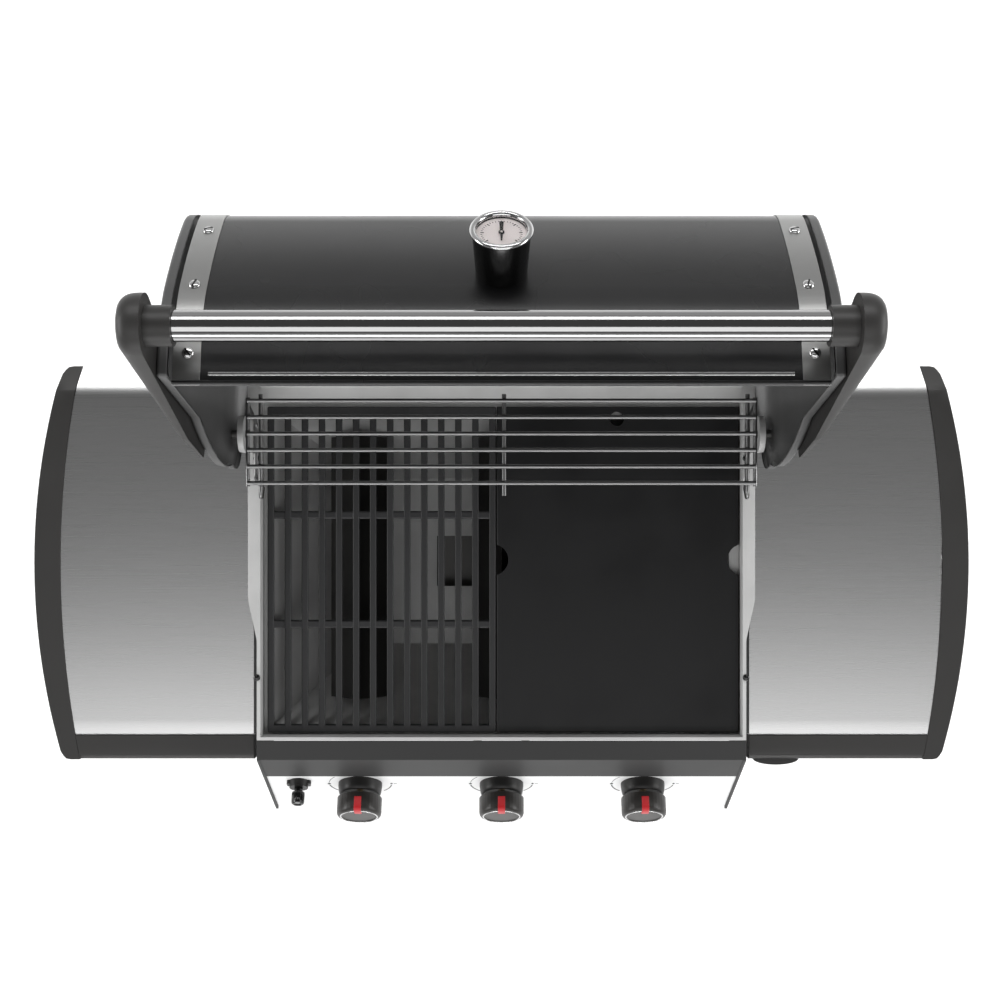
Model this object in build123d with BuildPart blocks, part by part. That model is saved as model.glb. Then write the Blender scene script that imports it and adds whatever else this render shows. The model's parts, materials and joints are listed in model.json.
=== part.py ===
from build123d import *
import os
from math import cos, radians, sin

os.makedirs("parts", exist_ok=True)

# Gas barbecue grill on a cabinet cart, with its hood open. Millimetres, +Z up, the front towards -Y.
# The origin is on the floor, under the middle of the whole grill's box.

# ---- Driving dimensions ----
RIM_Z = 900.0  # firebox rim above the floor
GRILL_Y = 58.83  # reference line of the firebox behind the origin
GAP = 0.3  # clearance between curved faces on different bodies
RUNNING = 0.05  # radial clearance of a running fit

# Firebox
WALL = 4.0
OPENING_HALF_X = 301.5
OPENING_FRONT = GRILL_Y - 296.5
OPENING_REAR = GRILL_Y + 124.0
RIM_HALF_FRONT = 306.0
RIM_HALF_REAR = 317.0
RIM_REAR = GRILL_Y + 145.0
RIM_BEND_FRONT = GRILL_Y - 175.0
RIM_BEND_REAR = GRILL_Y - 125.0
FLANGE_T = 8.0
LEDGE_DROP = 32.0
LEDGE = 12.5
BOWL_FLOOR_Z = RIM_Z - 230.0
BOWL_FLOOR_HALF_X = 190.0
BOWL_FLOOR_FRONT = GRILL_Y - 200.0
BOWL_FLOOR_REAR = GRILL_Y + 30.0
REAR_WALL_RISE = 90.0

# Hood hinge, and the hood's outline in its closed place, measured from the hinge
HINGE_Y = GRILL_Y + 80.0
HINGE_Z = RIM_Z + 59.0
OPEN_ANGLE = 102.8
PIN_R = 5.0
EAR_R = 22.0
EAR_IN, EAR_OUT = 310.0, 317.0
HOOD_HALF_X = 317.0
HOOD_T = 2.5
LIP_V = -57.5
HOOD_START = (-389.0, -10.4)  # where the straight lip meets the first arc
HOOD_ARCS = ((120.6, 149.4), (606.0, 138.1), (67.1, 104.5), (521.0, 59.5))  # radius and end angle
CAP_OUT = 333.0
EYE_R = 42.0
TRIM_IN = 290.0
TRIM_T = 1.2
HOOD_SCREWS = ((140.2, 0.0), (149.8, 0.0), (180.0, 14.6))  # angle on the outline, and drop
SCREW_X = 302.5
SCREW_R = 6.0

# Handle
HANDLE_U, HANDLE_V = -438.6, -14.5
HANDLE_R = 15.0
SOCKET_R = 19.5
ARM_OUT = 358.0
ARM_ROUNDS = (
    ((HANDLE_U, HANDLE_V), 31.0),
    ((-335.0, -32.0), 19.0),
    ((-222.0, -50.0), 17.0),
    ((-140.0, -57.0), 8.0),
)
ARM_LEAN = 4.4  # slope of the arm's outer face towards the end cap

# Thermometer, on the hood's front curve
DIAL_U, DIAL_V = -361.3, 68.8
DIAL_TILT = 32.0
HOUSING_R = 29.0
HOUSING_H = 48.3
BEZEL_R = 31.3

# Warming rack
RACK_Z = RIM_Z + 122.0
WIRE_R, BORDER_R = 2.5, 2.5
WELD_GAP = 0.05
RACK_HALF_X = 298.0
RACK_FRONT = GRILL_Y + 19.9
RACK_PITCH = 19.3
RACK_WIRES = 6
CROSS_OFFSET, CROSS_HALF_X = 3.0, 286.0
RAIL_HALF_X = 306.3

# Cooking grate and griddle
GRATE_TOP_Z = RIM_Z - 20.0
GRATE_FRONT = GRILL_Y - 294.0
GRATE_REAR = GRILL_Y + 118.0
GRATE_LEFT, GRATE_RIGHT = -296.0, -7.0
GRATE_T = 12.0
GRATE_BARS = 14
BAR_W = 9.0
CROSS_BARS = (GRILL_Y - 157.0, GRILL_Y - 19.0)
GRIDDLE_LEFT, GRIDDLE_RIGHT = -6.0, 300.0
NOTCH_R = 19.6
NOTCH_Y = GRILL_Y - 75.4
DRAIN = (146.0, GRILL_Y + 102.7)
DRAIN_R = 9.0

# Burners and gas train
STATIONS = (-184.0, 0.0, 184.0)
BURNER_R = 12.5
BURNER_Z = RIM_Z - 116.0
TAMER_Z = RIM_Z - 52.0
MANIFOLD_R = 9.0

# Ledge and control panel: the panel slopes down and forward from the ledge
LEDGE_FRONT = GRILL_Y - 325.0
LEDGE_REAR = GRILL_Y - 301.0
PANEL_SLOPE = 29.0  # from the vertical
PANEL_LENGTH = 190.0
VISOR_LENGTH = 62.0
PANEL_SET_BACK = 2.0
SHEET = 1.5
PANEL_HALF_X = 302.5
PANEL_SIDE_OUT = 306.0
KNOB_DOWN = 96.0
BEZEL_H = 15.0
KNOB_GAP = 4.6
KNOB_H = 26.0
KNOB_R, KNOB_FACE_R = 29.5, 22.5
STEM_R = 4.0
IGNITER_X = -263.0
IGNITER_DOWN = 87.0

# Side tables
TABLE_Z = RIM_Z - 28.0
TABLE_FRONT = GRILL_Y - 298.0
TABLE_CREASE = GRILL_Y + 139.5
TABLE_REAR = GRILL_Y + 171.0
TRIM_FRONT = GRILL_Y - 329.0
TABLE_DROP = 14.0
TABLE_IN_FRONT, TABLE_IN_REAR, TABLE_NOTCH = 314.0, 319.0, 345.0
NOTCH_FRONT = GRILL_Y + 92.0
CAP_IN_CORNER, CAP_IN_MIDDLE = 534.0, 559.0
CAP_OUT_CORNER, CAP_OUT_MIDDLE = 556.0, 592.5
CAP_H = 46.0

# Cabinet and cart
CABINET_HALF_X = 301.5
CABINET_FRONT = GRILL_Y - 286.0
CABINET_REAR = GRILL_Y + 110.0
SIDE_TOP_Z = RIM_Z - LEDGE_DROP - WALL
SIDE_BOTTOM_Z = 62.0
SHELF_Z = 98.0
SHELF_RISE = 4.0  # height of the pressing that carries the gas bottle
DOOR_FRONT = GRILL_Y - 312.0
DOOR_REAR = GRILL_Y - 294.0
DOOR_BOTTOM, DOOR_TOP = 110.0, 705.0
RAIL_Z = 716.0
DOOR_PIN_X, DOOR_PIN_Y = 295.0, GRILL_Y - 301.0
DOOR_PIN_R = 3.0
WHEEL_R, WHEEL_W = 44.0, 30.0
WHEEL_X = 258.0
WHEEL_YS = (GRILL_Y - 240.0, GRILL_Y + 60.0)
AXLE_R = 6.0
FOOT_X = -262.0

# Drip tray
TRAY_HALF_X = 120.0
TRAY_FRONT = GRILL_Y - 190.0
TRAY_REAR = GRILL_Y + 60.0
TRAY_TOP_Z = 660.0
TRAY_DEPTH = 20.0
TRAY_T = 2.0


# ---- Shared helpers ----
def finish(piece, name):
    """Labels a finished piece and writes it to a file of its own."""
    piece.label = name
    export_step(piece, f"parts/{name}.step")


def slab(x0, x1, y0, y1, z0, z1, mode=Mode.ADD):
    """A box between two corners, in the open part."""
    with Locations(((x0 + x1) / 2, (y0 + y1) / 2, (z0 + z1) / 2)):
        Box(x1 - x0, y1 - y0, z1 - z0, mode=mode)


def rod(start, end, radius, mode=Mode.ADD):
    """A straight round rod between two points, in the open part."""
    run = Vector(*end) - Vector(*start)
    with BuildSketch(Plane(origin=start, z_dir=run)) as section:
        Circle(radius)
    extrude(section.sketch, amount=run.length, mode=mode)


def wire(points, bend, radius=WIRE_R):
    """A bent wire through points, in the open part."""
    with BuildLine() as route:
        FilletPolyline(*points, radius=bend)
    with BuildSketch(Plane(origin=route.line @ 0, z_dir=route.line % 0)) as section:
        Circle(radius)
    sweep(section.sketch, path=route.line)


def sheet_strip(points, thickness, half_x, side=Side.RIGHT):
    """A bent sheet across the grill, its section given in Y and Z, in the open part."""
    with BuildSketch(Plane.YZ.offset(-half_x)) as section:
        with BuildLine():
            Polyline(*points)
            offset(amount=thickness, side=side, kind=Kind.INTERSECTION)
        make_face()
    extrude(section.sketch, amount=2 * half_x)


def twins(piece, name):
    """Writes a right-hand piece and its left-hand mirror image."""
    finish(piece, f"{name}_right")
    with BuildPart() as left:
        add(piece.mirror(Plane.YZ))
    finish(left.part, f"{name}_left")


# ---- Hood frame: u and v are the closed hood's Y and Z from the hinge ----
OPEN_COS, OPEN_SIN = cos(radians(OPEN_ANGLE)), sin(radians(OPEN_ANGLE))


def hood_plane(x):
    """Sketch plane of the opened hood at a place across the grill."""
    return Plane(origin=(x, HINGE_Y, HINGE_Z), x_dir=(0, OPEN_COS, -OPEN_SIN), z_dir=(1, 0, 0))


def hood_point(x, u, v):
    """A closed-hood place, carried to where it is with the hood open."""
    return (x, HINGE_Y + u * OPEN_COS + v * OPEN_SIN, HINGE_Z - u * OPEN_SIN + v * OPEN_COS)


def hood_direction(u, v):
    """A direction in the closed hood's section, with the hood open."""
    return (0, u * OPEN_COS + v * OPEN_SIN, -u * OPEN_SIN + v * OPEN_COS)


def hood_centers():
    """Centre, radius, start and end angle of each arc of the hood's outline, from the lip to the rear."""
    found = []
    start = 180.0
    u, v = HOOD_START[0] + HOOD_ARCS[0][0], HOOD_START[1]
    last = HOOD_ARCS[0][0]
    for radius, end in HOOD_ARCS:
        u += (last - radius) * cos(radians(start))
        v += (last - radius) * sin(radians(start))
        found.append(((u, v), radius, start, end))
        start, last = end, radius
    return found


def hood_spot(turn, out):
    """The place on the hood's outline that faces an angle, moved outwards by a distance."""
    for (u, v), radius, start, end in hood_centers():
        if turn >= end:
            return (u + (radius + out) * cos(radians(turn)), v + (radius + out) * sin(radians(turn)))


def hood_curve(out, lip_v=LIP_V):
    """The hood's section line from lip to rear edge, moved outwards by a distance."""
    lip = (HOOD_START[0] - out, lip_v)
    Line(lip, hood_spot(180.0, out))
    for center, radius, start, end in hood_centers():
        CenterArc(center, radius + out, start, end - start)
    return lip, hood_spot(HOOD_ARCS[-1][1], out)


def hood_band(inner, outer, lip_v=LIP_V):
    """The closed strip between two lines of the hood's section, in the open sketch."""
    with BuildLine() as outline:
        lip_in, rear_in = hood_curve(inner, lip_v)
        lip_out, rear_out = hood_curve(outer, lip_v)
        Line(lip_in, lip_out)
        Line(rear_in, rear_out)
    make_face(outline.edges())


# ---- Firebox: walls round the grates, a ledge for them, and a tapering bowl ----
LEDGE_Y = (OPENING_FRONT + OPENING_REAR) / 2
LEDGE_DEPTH = OPENING_REAR - OPENING_FRONT - 2 * LEDGE
FLOOR_Y = (BOWL_FLOOR_FRONT + BOWL_FLOOR_REAR) / 2
FLOOR_DEPTH = BOWL_FLOOR_REAR - BOWL_FLOOR_FRONT


def bowl(grow, lift, mode):
    """The bowl's tapering block, grown sideways and lifted at its floor, in the open part."""
    half_x = OPENING_HALF_X - LEDGE + grow
    with BuildSketch(Plane.XY.offset(RIM_Z - LEDGE_DROP)) as mouth:
        with Locations((0, LEDGE_Y)):
            Rectangle(2 * half_x, LEDGE_DEPTH + 2 * grow)
    with BuildSketch(Plane.XY.offset(BOWL_FLOOR_Z + lift)) as floor:
        with Locations((0, FLOOR_Y)):
            Rectangle(2 * (BOWL_FLOOR_HALF_X + grow), FLOOR_DEPTH + 2 * grow)
    loft([mouth.sketch, floor.sketch], mode=mode)


with BuildPart() as firebox:
    with BuildSketch(Plane.XY.offset(RIM_Z)) as rim:
        with BuildLine():
            half_rim = Polyline(
                (0, OPENING_FRONT - WALL),
                (RIM_HALF_FRONT, OPENING_FRONT - WALL),
                (RIM_HALF_FRONT, RIM_BEND_FRONT),
                (RIM_HALF_REAR, RIM_BEND_REAR),
                (RIM_HALF_REAR, RIM_REAR),
                (0, RIM_REAR),
            )
            mirror(half_rim, about=Plane.YZ)
        make_face()
        fillet(rim.vertices().filter_by_position(Axis.Y, RIM_BEND_FRONT - 1, RIM_BEND_REAR + 1), 25)
    extrude(amount=-FLANGE_T)
    slab(
        -OPENING_HALF_X - WALL,
        OPENING_HALF_X + WALL,
        OPENING_FRONT - WALL,
        OPENING_REAR + WALL,
        SIDE_TOP_Z,
        RIM_Z,
    )
    bowl(WALL, 0, Mode.ADD)
    slab(
        -OPENING_HALF_X,
        OPENING_HALF_X,
        OPENING_FRONT,
        OPENING_REAR,
        RIM_Z - LEDGE_DROP,
        RIM_Z,
        Mode.SUBTRACT,
    )
    bowl(0, WALL, Mode.SUBTRACT)
    slab(-300, 300, RIM_REAR - WALL, RIM_REAR, RIM_Z - FLANGE_T, RIM_Z + REAR_WALL_RISE)
    for ear_x in (-EAR_OUT, EAR_IN):
        with BuildSketch(Plane.YZ.offset(ear_x)):
            with Locations((HINGE_Y, HINGE_Z)):
                Circle(EAR_R)
            with Locations((HINGE_Y, (HINGE_Z + RIM_Z) / 2)):
                Rectangle(2 * EAR_R, HINGE_Z - RIM_Z)
        extrude(amount=EAR_OUT - EAR_IN)
    rod((-EAR_OUT - 1, HINGE_Y, HINGE_Z), (EAR_OUT + 1, HINGE_Y, HINGE_Z), PIN_R, Mode.SUBTRACT)
    slab(-90, 90, FLOOR_Y - 35, FLOOR_Y + 35, BOWL_FLOOR_Z - 1, BOWL_FLOOR_Z + 2 * WALL, Mode.SUBTRACT)
    for station in STATIONS:
        mouth = (station, OPENING_FRONT - 20, BURNER_Z)
        rod(mouth, (station, FLOOR_Y, BURNER_Z), BURNER_R + 2.5, Mode.SUBTRACT)
finish(firebox.part, "firebox")

with BuildPart() as hinge_pins:
    for side in (-1, 1):
        rod((side * (EAR_IN + 0.5), HINGE_Y, HINGE_Z), (side * (CAP_OUT + 0.6), HINGE_Y, HINGE_Z), PIN_R)
        rod(
            (side * (CAP_OUT + 0.6), HINGE_Y, HINGE_Z),
            (side * (CAP_OUT + 6.6), HINGE_Y, HINGE_Z),
            2 * PIN_R,
        )
finish(hinge_pins.part, "hinge_pins")

# ---- Hood ----
with BuildPart() as hood_shell:
    with BuildSketch(hood_plane(-HOOD_HALF_X)):
        hood_band(-HOOD_T, 0)
    extrude(amount=2 * HOOD_HALF_X)
finish(hood_shell.part, "hood_shell")

with BuildPart() as hood_trim:
    with BuildSketch(hood_plane(TRIM_IN)):
        hood_band(0, TRIM_T)
    extrude(amount=HOOD_HALF_X - TRIM_IN)
twins(hood_trim.part, "hood_trim")

with BuildPart() as hood_bead:
    with BuildSketch(hood_plane(-TRIM_IN + 8)):
        with Locations((HOOD_START[0] - 1.5, LIP_V + 11)):
            RectangleRounded(3, 4, 1.2)
    extrude(amount=2 * (TRIM_IN - 8))
finish(hood_bead.part, "hood_bead")

# Each end cap fills the hood's section, with a hanging lobe and a round eye at the hinge.
with BuildPart() as hood_cap:
    with BuildSketch(hood_plane(HOOD_HALF_X)) as cap_face:
        with BuildLine():
            lip_end, rear_end = hood_curve(TRIM_T, -49)
            Line(lip_end, (-222, -43))
            Spline((-222, -43), (-170, -53), (-117, -57.5), (-75, -56.5), (-42, -51), (-12, -40))
            Line((-12, -40), (10, -35))
            Line((10, -35), rear_end)
        make_face()
        Circle(EYE_R)
    extrude(amount=CAP_OUT - HOOD_HALF_X)
    chamfer(hood_cap.faces().filter_by(Axis.X).sort_by(Axis.X)[-1].edges(), 4)
    with BuildSketch(hood_plane(HOOD_HALF_X)):
        with BuildLine():
            lip_end, rear_end = hood_curve(-14, -30)
            Polyline(lip_end, (-60, -30), (-52, 52), (60, 60), rear_end)
        make_face()
    extrude(amount=CAP_OUT - HOOD_HALF_X - 5, mode=Mode.SUBTRACT)
    rod(
        (HOOD_HALF_X - 1, HINGE_Y, HINGE_Z),
        (CAP_OUT + 1, HINGE_Y, HINGE_Z),
        PIN_R + RUNNING,
        Mode.SUBTRACT,
    )
twins(hood_cap.part, "hood_end_cap")

with BuildPart() as hood_screws:
    for screw_x in (-SCREW_X, SCREW_X):
        for turn, drop in HOOD_SCREWS:
            foot_u, foot_v = hood_spot(turn, TRIM_T)
            out = hood_direction(cos(radians(turn)), sin(radians(turn)))
            foot = hood_point(screw_x, foot_u, foot_v - drop)
            with BuildSketch(Plane(origin=foot, z_dir=out)):
                Circle(SCREW_R)
            extrude(amount=3.2, taper=25)
finish(hood_screws.part, "hood_screws")

# ---- Handle: two arms outside the end caps, sockets and a bar ----
with BuildPart() as handle_arm:
    with BuildSketch(hood_plane(CAP_OUT)) as arm_face:
        for place, radius in ARM_ROUNDS:
            with Locations(place):
                Circle(radius)
        make_hull()
    extrude(amount=ARM_OUT - CAP_OUT)
    fillet(handle_arm.faces().filter_by(Axis.X).sort_by(Axis.X)[-1].edges(), 7)
    lean = hood_direction(sin(radians(ARM_LEAN)), 0)
    outer_face = Plane(
        origin=hood_point(ARM_OUT, -400, 0), z_dir=(cos(radians(ARM_LEAN)), lean[1], lean[2])
    )
    split(bisect_by=outer_face, keep=Keep.BOTTOM)
twins(handle_arm.part, "handle_arm")

with BuildPart() as handle_sockets:
    for side in (-1, 1):
        rod(
            hood_point(side * (HOOD_HALF_X - 10), HANDLE_U, HANDLE_V),
            hood_point(side * CAP_OUT, HANDLE_U, HANDLE_V),
            SOCKET_R,
        )
finish(handle_sockets.part, "handle_sockets")

with BuildPart() as handle_bar:
    bar_end = HOOD_HALF_X - 10
    rod(
        hood_point(-bar_end, HANDLE_U, HANDLE_V),
        hood_point(bar_end, HANDLE_U, HANDLE_V),
        HANDLE_R,
    )
finish(handle_bar.part, "handle_bar")

# ---- Thermometer: a cup housing, a dial in a bright bezel, and a needle that turns ----
DIAL_AXIS = hood_direction(-cos(radians(DIAL_TILT)), sin(radians(DIAL_TILT)))


def dial_plane(height):
    """Plane across the thermometer at a height above its foot on the hood."""
    foot = Vector(*hood_point(0, DIAL_U, DIAL_V))
    return Plane(origin=foot + Vector(*DIAL_AXIS) * height, x_dir=(1, 0, 0), z_dir=DIAL_AXIS)


with BuildPart() as thermometer_housing:
    with BuildSketch(dial_plane(-14)):
        Circle(HOUSING_R - 4)
    with BuildSketch(dial_plane(HOUSING_H)):
        Circle(HOUSING_R)
    loft()
    with BuildSketch(dial_plane(HOUSING_H - 8)):
        Circle(HOUSING_R - 4)
    extrude(amount=8, mode=Mode.SUBTRACT)
    with BuildSketch(hood_plane(-HOUSING_R - 5)):
        with BuildLine():
            low_end, high_end = hood_curve(0.0)
            Polyline(low_end, (0, LIP_V), high_end)
        make_face()
    extrude(amount=2 * HOUSING_R + 10, mode=Mode.SUBTRACT)
finish(thermometer_housing.part, "thermometer_housing")

with BuildPart() as thermometer_bezel:
    with BuildSketch(dial_plane(HOUSING_H)):
        Circle(BEZEL_R)
        Circle(HOUSING_R - 4, mode=Mode.SUBTRACT)
    extrude(amount=5)
    fillet(thermometer_bezel.edges().filter_by(GeomType.CIRCLE).sort_by(SortBy.RADIUS)[-2:], 1.8)
finish(thermometer_bezel.part, "thermometer_bezel")

with BuildPart() as thermometer_dial:
    with BuildSketch(dial_plane(HOUSING_H - 8 + WELD_GAP)):
        Circle(HOUSING_R - 4 - WELD_GAP)
    extrude(amount=6)
    with BuildSketch(dial_plane(HOUSING_H - 2)):
        Circle(1.2)
    extrude(amount=2.5)
finish(thermometer_dial.part, "thermometer_dial")

with BuildPart() as thermometer_needle:
    with BuildSketch(dial_plane(HOUSING_H - 1)):
        Circle(3)
        with BuildLine():
            Polyline((-2.2, 17), (2.2, 17), (0.7, -13), (-0.7, -13), close=True)
        make_face()
        Circle(1.2 + RUNNING, mode=Mode.SUBTRACT)
    extrude(amount=1)
finish(thermometer_needle.part, "thermometer_needle")

# ---- Warming rack: transverse wires on cross wires, with a leg loop to the rim at each side ----
with BuildPart() as warming_rack:
    rack_rear = RACK_FRONT + RACK_PITCH * (RACK_WIRES - 1)
    under = RACK_Z - 2 * WIRE_R - WELD_GAP
    border_z = RACK_Z - WIRE_R - BORDER_R - WELD_GAP
    for i in range(RACK_WIRES):
        y = RACK_FRONT + RACK_PITCH * i
        rod((-RACK_HALF_X, y, RACK_Z), (RACK_HALF_X, y, RACK_Z), WIRE_R)
    for x in (-RACK_HALF_X, RACK_HALF_X):
        rod((x, RACK_FRONT - 4, border_z), (x, rack_rear + 4, border_z), BORDER_R)
    rod((CROSS_OFFSET, GRILL_Y + 5, under), (CROSS_OFFSET, rack_rear + 8, under), WIRE_R)
    for side in (-1, 1):
        inner = CROSS_HALF_X * side + CROSS_OFFSET
        wire(
            (
                (inner, rack_rear + 8, under),
                (inner, GRILL_Y - 1, under),
                (inner + side * 2, GRILL_Y + 14, under - 30),
                (side * RAIL_HALF_X, GRILL_Y + 26, RIM_Z + WIRE_R + GAP),
                (side * RAIL_HALF_X, rack_rear - 20, RIM_Z + WIRE_R + GAP),
                (side * RACK_HALF_X, rack_rear - 6, border_z - BORDER_R - WELD_GAP),
            ),
            (7, 12, 7, 7),
        )
finish(warming_rack.part, "warming_rack")

# ---- Cooking grate and griddle plate ----
with BuildPart() as cooking_grate:
    grate_bottom = GRATE_TOP_Z - GRATE_T
    bar_pitch = (GRATE_RIGHT - GRATE_LEFT - BAR_W) / (GRATE_BARS - 1)
    for i in range(GRATE_BARS):
        x = GRATE_LEFT + BAR_W / 2 + bar_pitch * i
        with BuildSketch(Plane.XZ.offset(-GRATE_FRONT)):
            with Locations((x, GRATE_TOP_Z - GRATE_T / 2)):
                Trapezoid(BAR_W, GRATE_T, 83, rotation=180)
        extrude(amount=GRATE_FRONT - GRATE_REAR)
    slab(GRATE_LEFT, GRATE_RIGHT, GRATE_FRONT, GRATE_FRONT + 10, grate_bottom, GRATE_TOP_Z)
    slab(GRATE_LEFT, GRATE_RIGHT, GRATE_REAR - 12, GRATE_REAR, grate_bottom, GRATE_TOP_Z)
    for y in CROSS_BARS:
        slab(GRATE_LEFT, GRATE_RIGHT, y - 5, y + 5, grate_bottom, GRATE_TOP_Z - 1)
finish(cooking_grate.part, "cooking_grate")

with BuildPart() as griddle_plate:
    slab(
        GRIDDLE_LEFT,
        GRIDDLE_RIGHT,
        GRATE_FRONT,
        GRATE_REAR,
        GRATE_TOP_Z - GRATE_T,
        GRATE_TOP_Z,
    )
    chamfer(griddle_plate.edges().group_by(Axis.Z)[-1], 1.5)
    for x in (GRIDDLE_LEFT - 5, GRIDDLE_RIGHT + 5):
        rod((x, NOTCH_Y, GRATE_TOP_Z - 20), (x, NOTCH_Y, GRATE_TOP_Z + 5), NOTCH_R, Mode.SUBTRACT)
    rod((*DRAIN, GRATE_TOP_Z - 20), (*DRAIN, GRATE_TOP_Z + 5), DRAIN_R, Mode.SUBTRACT)
finish(griddle_plate.part, "griddle_plate")

# ---- Burners, flame tamers and the gas train ----
for station, place in zip(STATIONS, ("left", "middle", "right")):
    with BuildPart() as burner:
        rod((station, GRILL_Y - 310, BURNER_Z), (station, GRILL_Y + 66, BURNER_Z), BURNER_R)
        rod((station, GRILL_Y - 311, BURNER_Z), (station, GRILL_Y - 240, BURNER_Z), 9, Mode.SUBTRACT)
        slab(station - 8, station + 8, GRILL_Y + 60, GRILL_Y + 75, BURNER_Z, BURNER_Z + 2)
    finish(burner.part, f"burner_{place}")

with BuildPart() as flame_tamers:
    for station in STATIONS:
        with BuildSketch(Plane.XZ.offset(256 - GRILL_Y)):
            with BuildLine():
                Polyline((station - 38, TAMER_Z - 34), (station, TAMER_Z), (station + 38, TAMER_Z - 34))
                offset(amount=SHEET, side=Side.RIGHT, kind=Kind.INTERSECTION)
            make_face()
        extrude(amount=-338)
finish(flame_tamers.part, "flame_tamers")

PANEL_COS, PANEL_SIN = cos(radians(PANEL_SLOPE)), sin(radians(PANEL_SLOPE))


def panel_point(x, down, out):
    """A place on the sloping panel: across, down the slope, and out from its face."""
    y = LEDGE_FRONT - PANEL_SIN * down - PANEL_COS * (out - PANEL_SET_BACK)
    z = RIM_Z - PANEL_COS * down + PANEL_SIN * (out - PANEL_SET_BACK)
    return (x, y, z)


PANEL_OUT = (0, -PANEL_COS, PANEL_SIN)


def knob_plane(x, out):
    """Plane across a knob's axis at a distance out from the panel."""
    return Plane(origin=panel_point(x, KNOB_DOWN, out), x_dir=(1, 0, 0), z_dir=PANEL_OUT)


def turned(x, down, profile):
    """A round piece about an axis square to the panel; profile holds radius and height pairs."""
    plane = Plane(
        origin=panel_point(x, down, 0), x_dir=(1, 0, 0), z_dir=(0, -PANEL_SIN, -PANEL_COS)
    )
    with BuildSketch(plane) as section:
        with BuildLine():
            Polyline(*profile, close=True)
        make_face()
    revolve(section.sketch, axis=Axis(panel_point(x, down, 0), PANEL_OUT))


with BuildPart() as gas_manifold:
    pipe_y, pipe_z = panel_point(0, KNOB_DOWN + 10 + MANIFOLD_R + 0.1, -30)[1:]
    rod((-215, pipe_y, pipe_z), (272, pipe_y, pipe_z), MANIFOLD_R)
    rod((262, pipe_y, pipe_z), (262, pipe_y, pipe_z - 34), 7)
    with BuildSketch(Plane.XY.offset(pipe_z - 34)):
        with Locations((262, pipe_y)):
            RegularPolygon(11, 6)
    extrude(amount=-12)
    rod((262, pipe_y, pipe_z - 46), (262, pipe_y, pipe_z - 62), 7.9)
    rod((262, pipe_y, pipe_z - 63), (262, pipe_y, pipe_z - 20), 4, Mode.SUBTRACT)
finish(gas_manifold.part, "gas_manifold")

with BuildPart() as gas_valves:
    for station in STATIONS:
        valve_plane = knob_plane(station, -SHEET - 0.5)
        with BuildSketch(valve_plane):
            Rectangle(22, 20)
        extrude(amount=-38)
        with BuildSketch(knob_plane(station, -39)):
            Circle(5.5)
        extrude(amount=-16)
        with BuildSketch(valve_plane):
            Circle(STEM_R + RUNNING)
        extrude(amount=-24, mode=Mode.SUBTRACT)
finish(gas_valves.part, "gas_valves")

# ---- Ledge with its visor, control panel and side plates ----
FACE_DOWN = (-PANEL_SIN, -PANEL_COS)
with BuildPart() as front_ledge:
    visor_end = (LEDGE_FRONT + FACE_DOWN[0] * VISOR_LENGTH, RIM_Z + FACE_DOWN[1] * VISOR_LENGTH)
    sheet_strip(((LEDGE_REAR, RIM_Z), (LEDGE_FRONT, RIM_Z), visor_end), SHEET, PANEL_HALF_X, Side.LEFT)
finish(front_ledge.part, "front_ledge")

with BuildPart() as control_panel:
    panel_top = panel_point(0, 5, 0)[1:]
    panel_foot = panel_point(0, PANEL_LENGTH, 0)[1:]
    panel_back = (panel_foot[0] + 28, panel_foot[1])
    sheet_strip((panel_top, panel_foot, panel_back), SHEET, PANEL_HALF_X, Side.LEFT)
    for station in STATIONS:
        start = panel_point(station, KNOB_DOWN, -5)
        rod(start, panel_point(station, KNOB_DOWN, 5), 6.5, Mode.SUBTRACT)
    start = panel_point(IGNITER_X, IGNITER_DOWN, -5)
    rod(start, panel_point(IGNITER_X, IGNITER_DOWN, 5), 6.5, Mode.SUBTRACT)
finish(control_panel.part, "control_panel")

with BuildPart() as panel_sides:
    for x in (-PANEL_SIDE_OUT, PANEL_HALF_X):
        with BuildSketch(Plane.YZ.offset(x)):
            with BuildLine():
                top_front = panel_point(0, 2, 2.6)[1:]
                low_front = panel_point(0, PANEL_LENGTH + 3, 2.6)[1:]
                Polyline(
                    (LEDGE_REAR, RIM_Z),
                    (LEDGE_FRONT, RIM_Z),
                    top_front,
                    low_front,
                    (low_front[0] + 36, low_front[1]),
                    (LEDGE_REAR, RIM_Z - 110),
                    close=True,
                )
            make_face()
        extrude(amount=PANEL_SIDE_OUT - PANEL_HALF_X)
finish(panel_sides.part, "panel_sides")

with BuildPart() as knob_bezels:
    for station in STATIONS:
        turned(
            station,
            KNOB_DOWN,
            ((9, 0), (28.5, 0), (28.5, 4), (27, BEZEL_H - 1.5), (25.5, BEZEL_H), (9, BEZEL_H)),
        )
finish(knob_bezels.part, "knob_bezels")

# ---- Knobs: each stem slides in its valve, and the knob turns on it ----
KNOB_FOOT = BEZEL_H + KNOB_GAP
KNOB_TOP = KNOB_FOOT + KNOB_H
BORE_R = STEM_R + RUNNING
for station, place in zip(STATIONS, ("left", "middle", "right")):
    with BuildPart() as valve_stem:
        with BuildSketch(knob_plane(station, -SHEET - 16)):
            Circle(STEM_R)
        extrude(amount=SHEET + 16 + KNOB_FOOT + 16)
    finish(valve_stem.part, f"valve_stem_{place}")
    with BuildPart() as knob:
        turned(
            station,
            KNOB_DOWN,
            (
                (BORE_R, KNOB_FOOT),
                (KNOB_R - 1, KNOB_FOOT),
                (KNOB_R, KNOB_FOOT + 1),
                (KNOB_R, KNOB_TOP - 5),
                (KNOB_R - 1.5, KNOB_TOP - 2),
                (KNOB_FACE_R + 2.5, KNOB_TOP),
                (0, KNOB_TOP),
                (0, KNOB_FOOT + 16.5),
                (BORE_R, KNOB_FOOT + 16.5),
            ),
        )
    finish(knob.part, f"knob_{place}")

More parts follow.
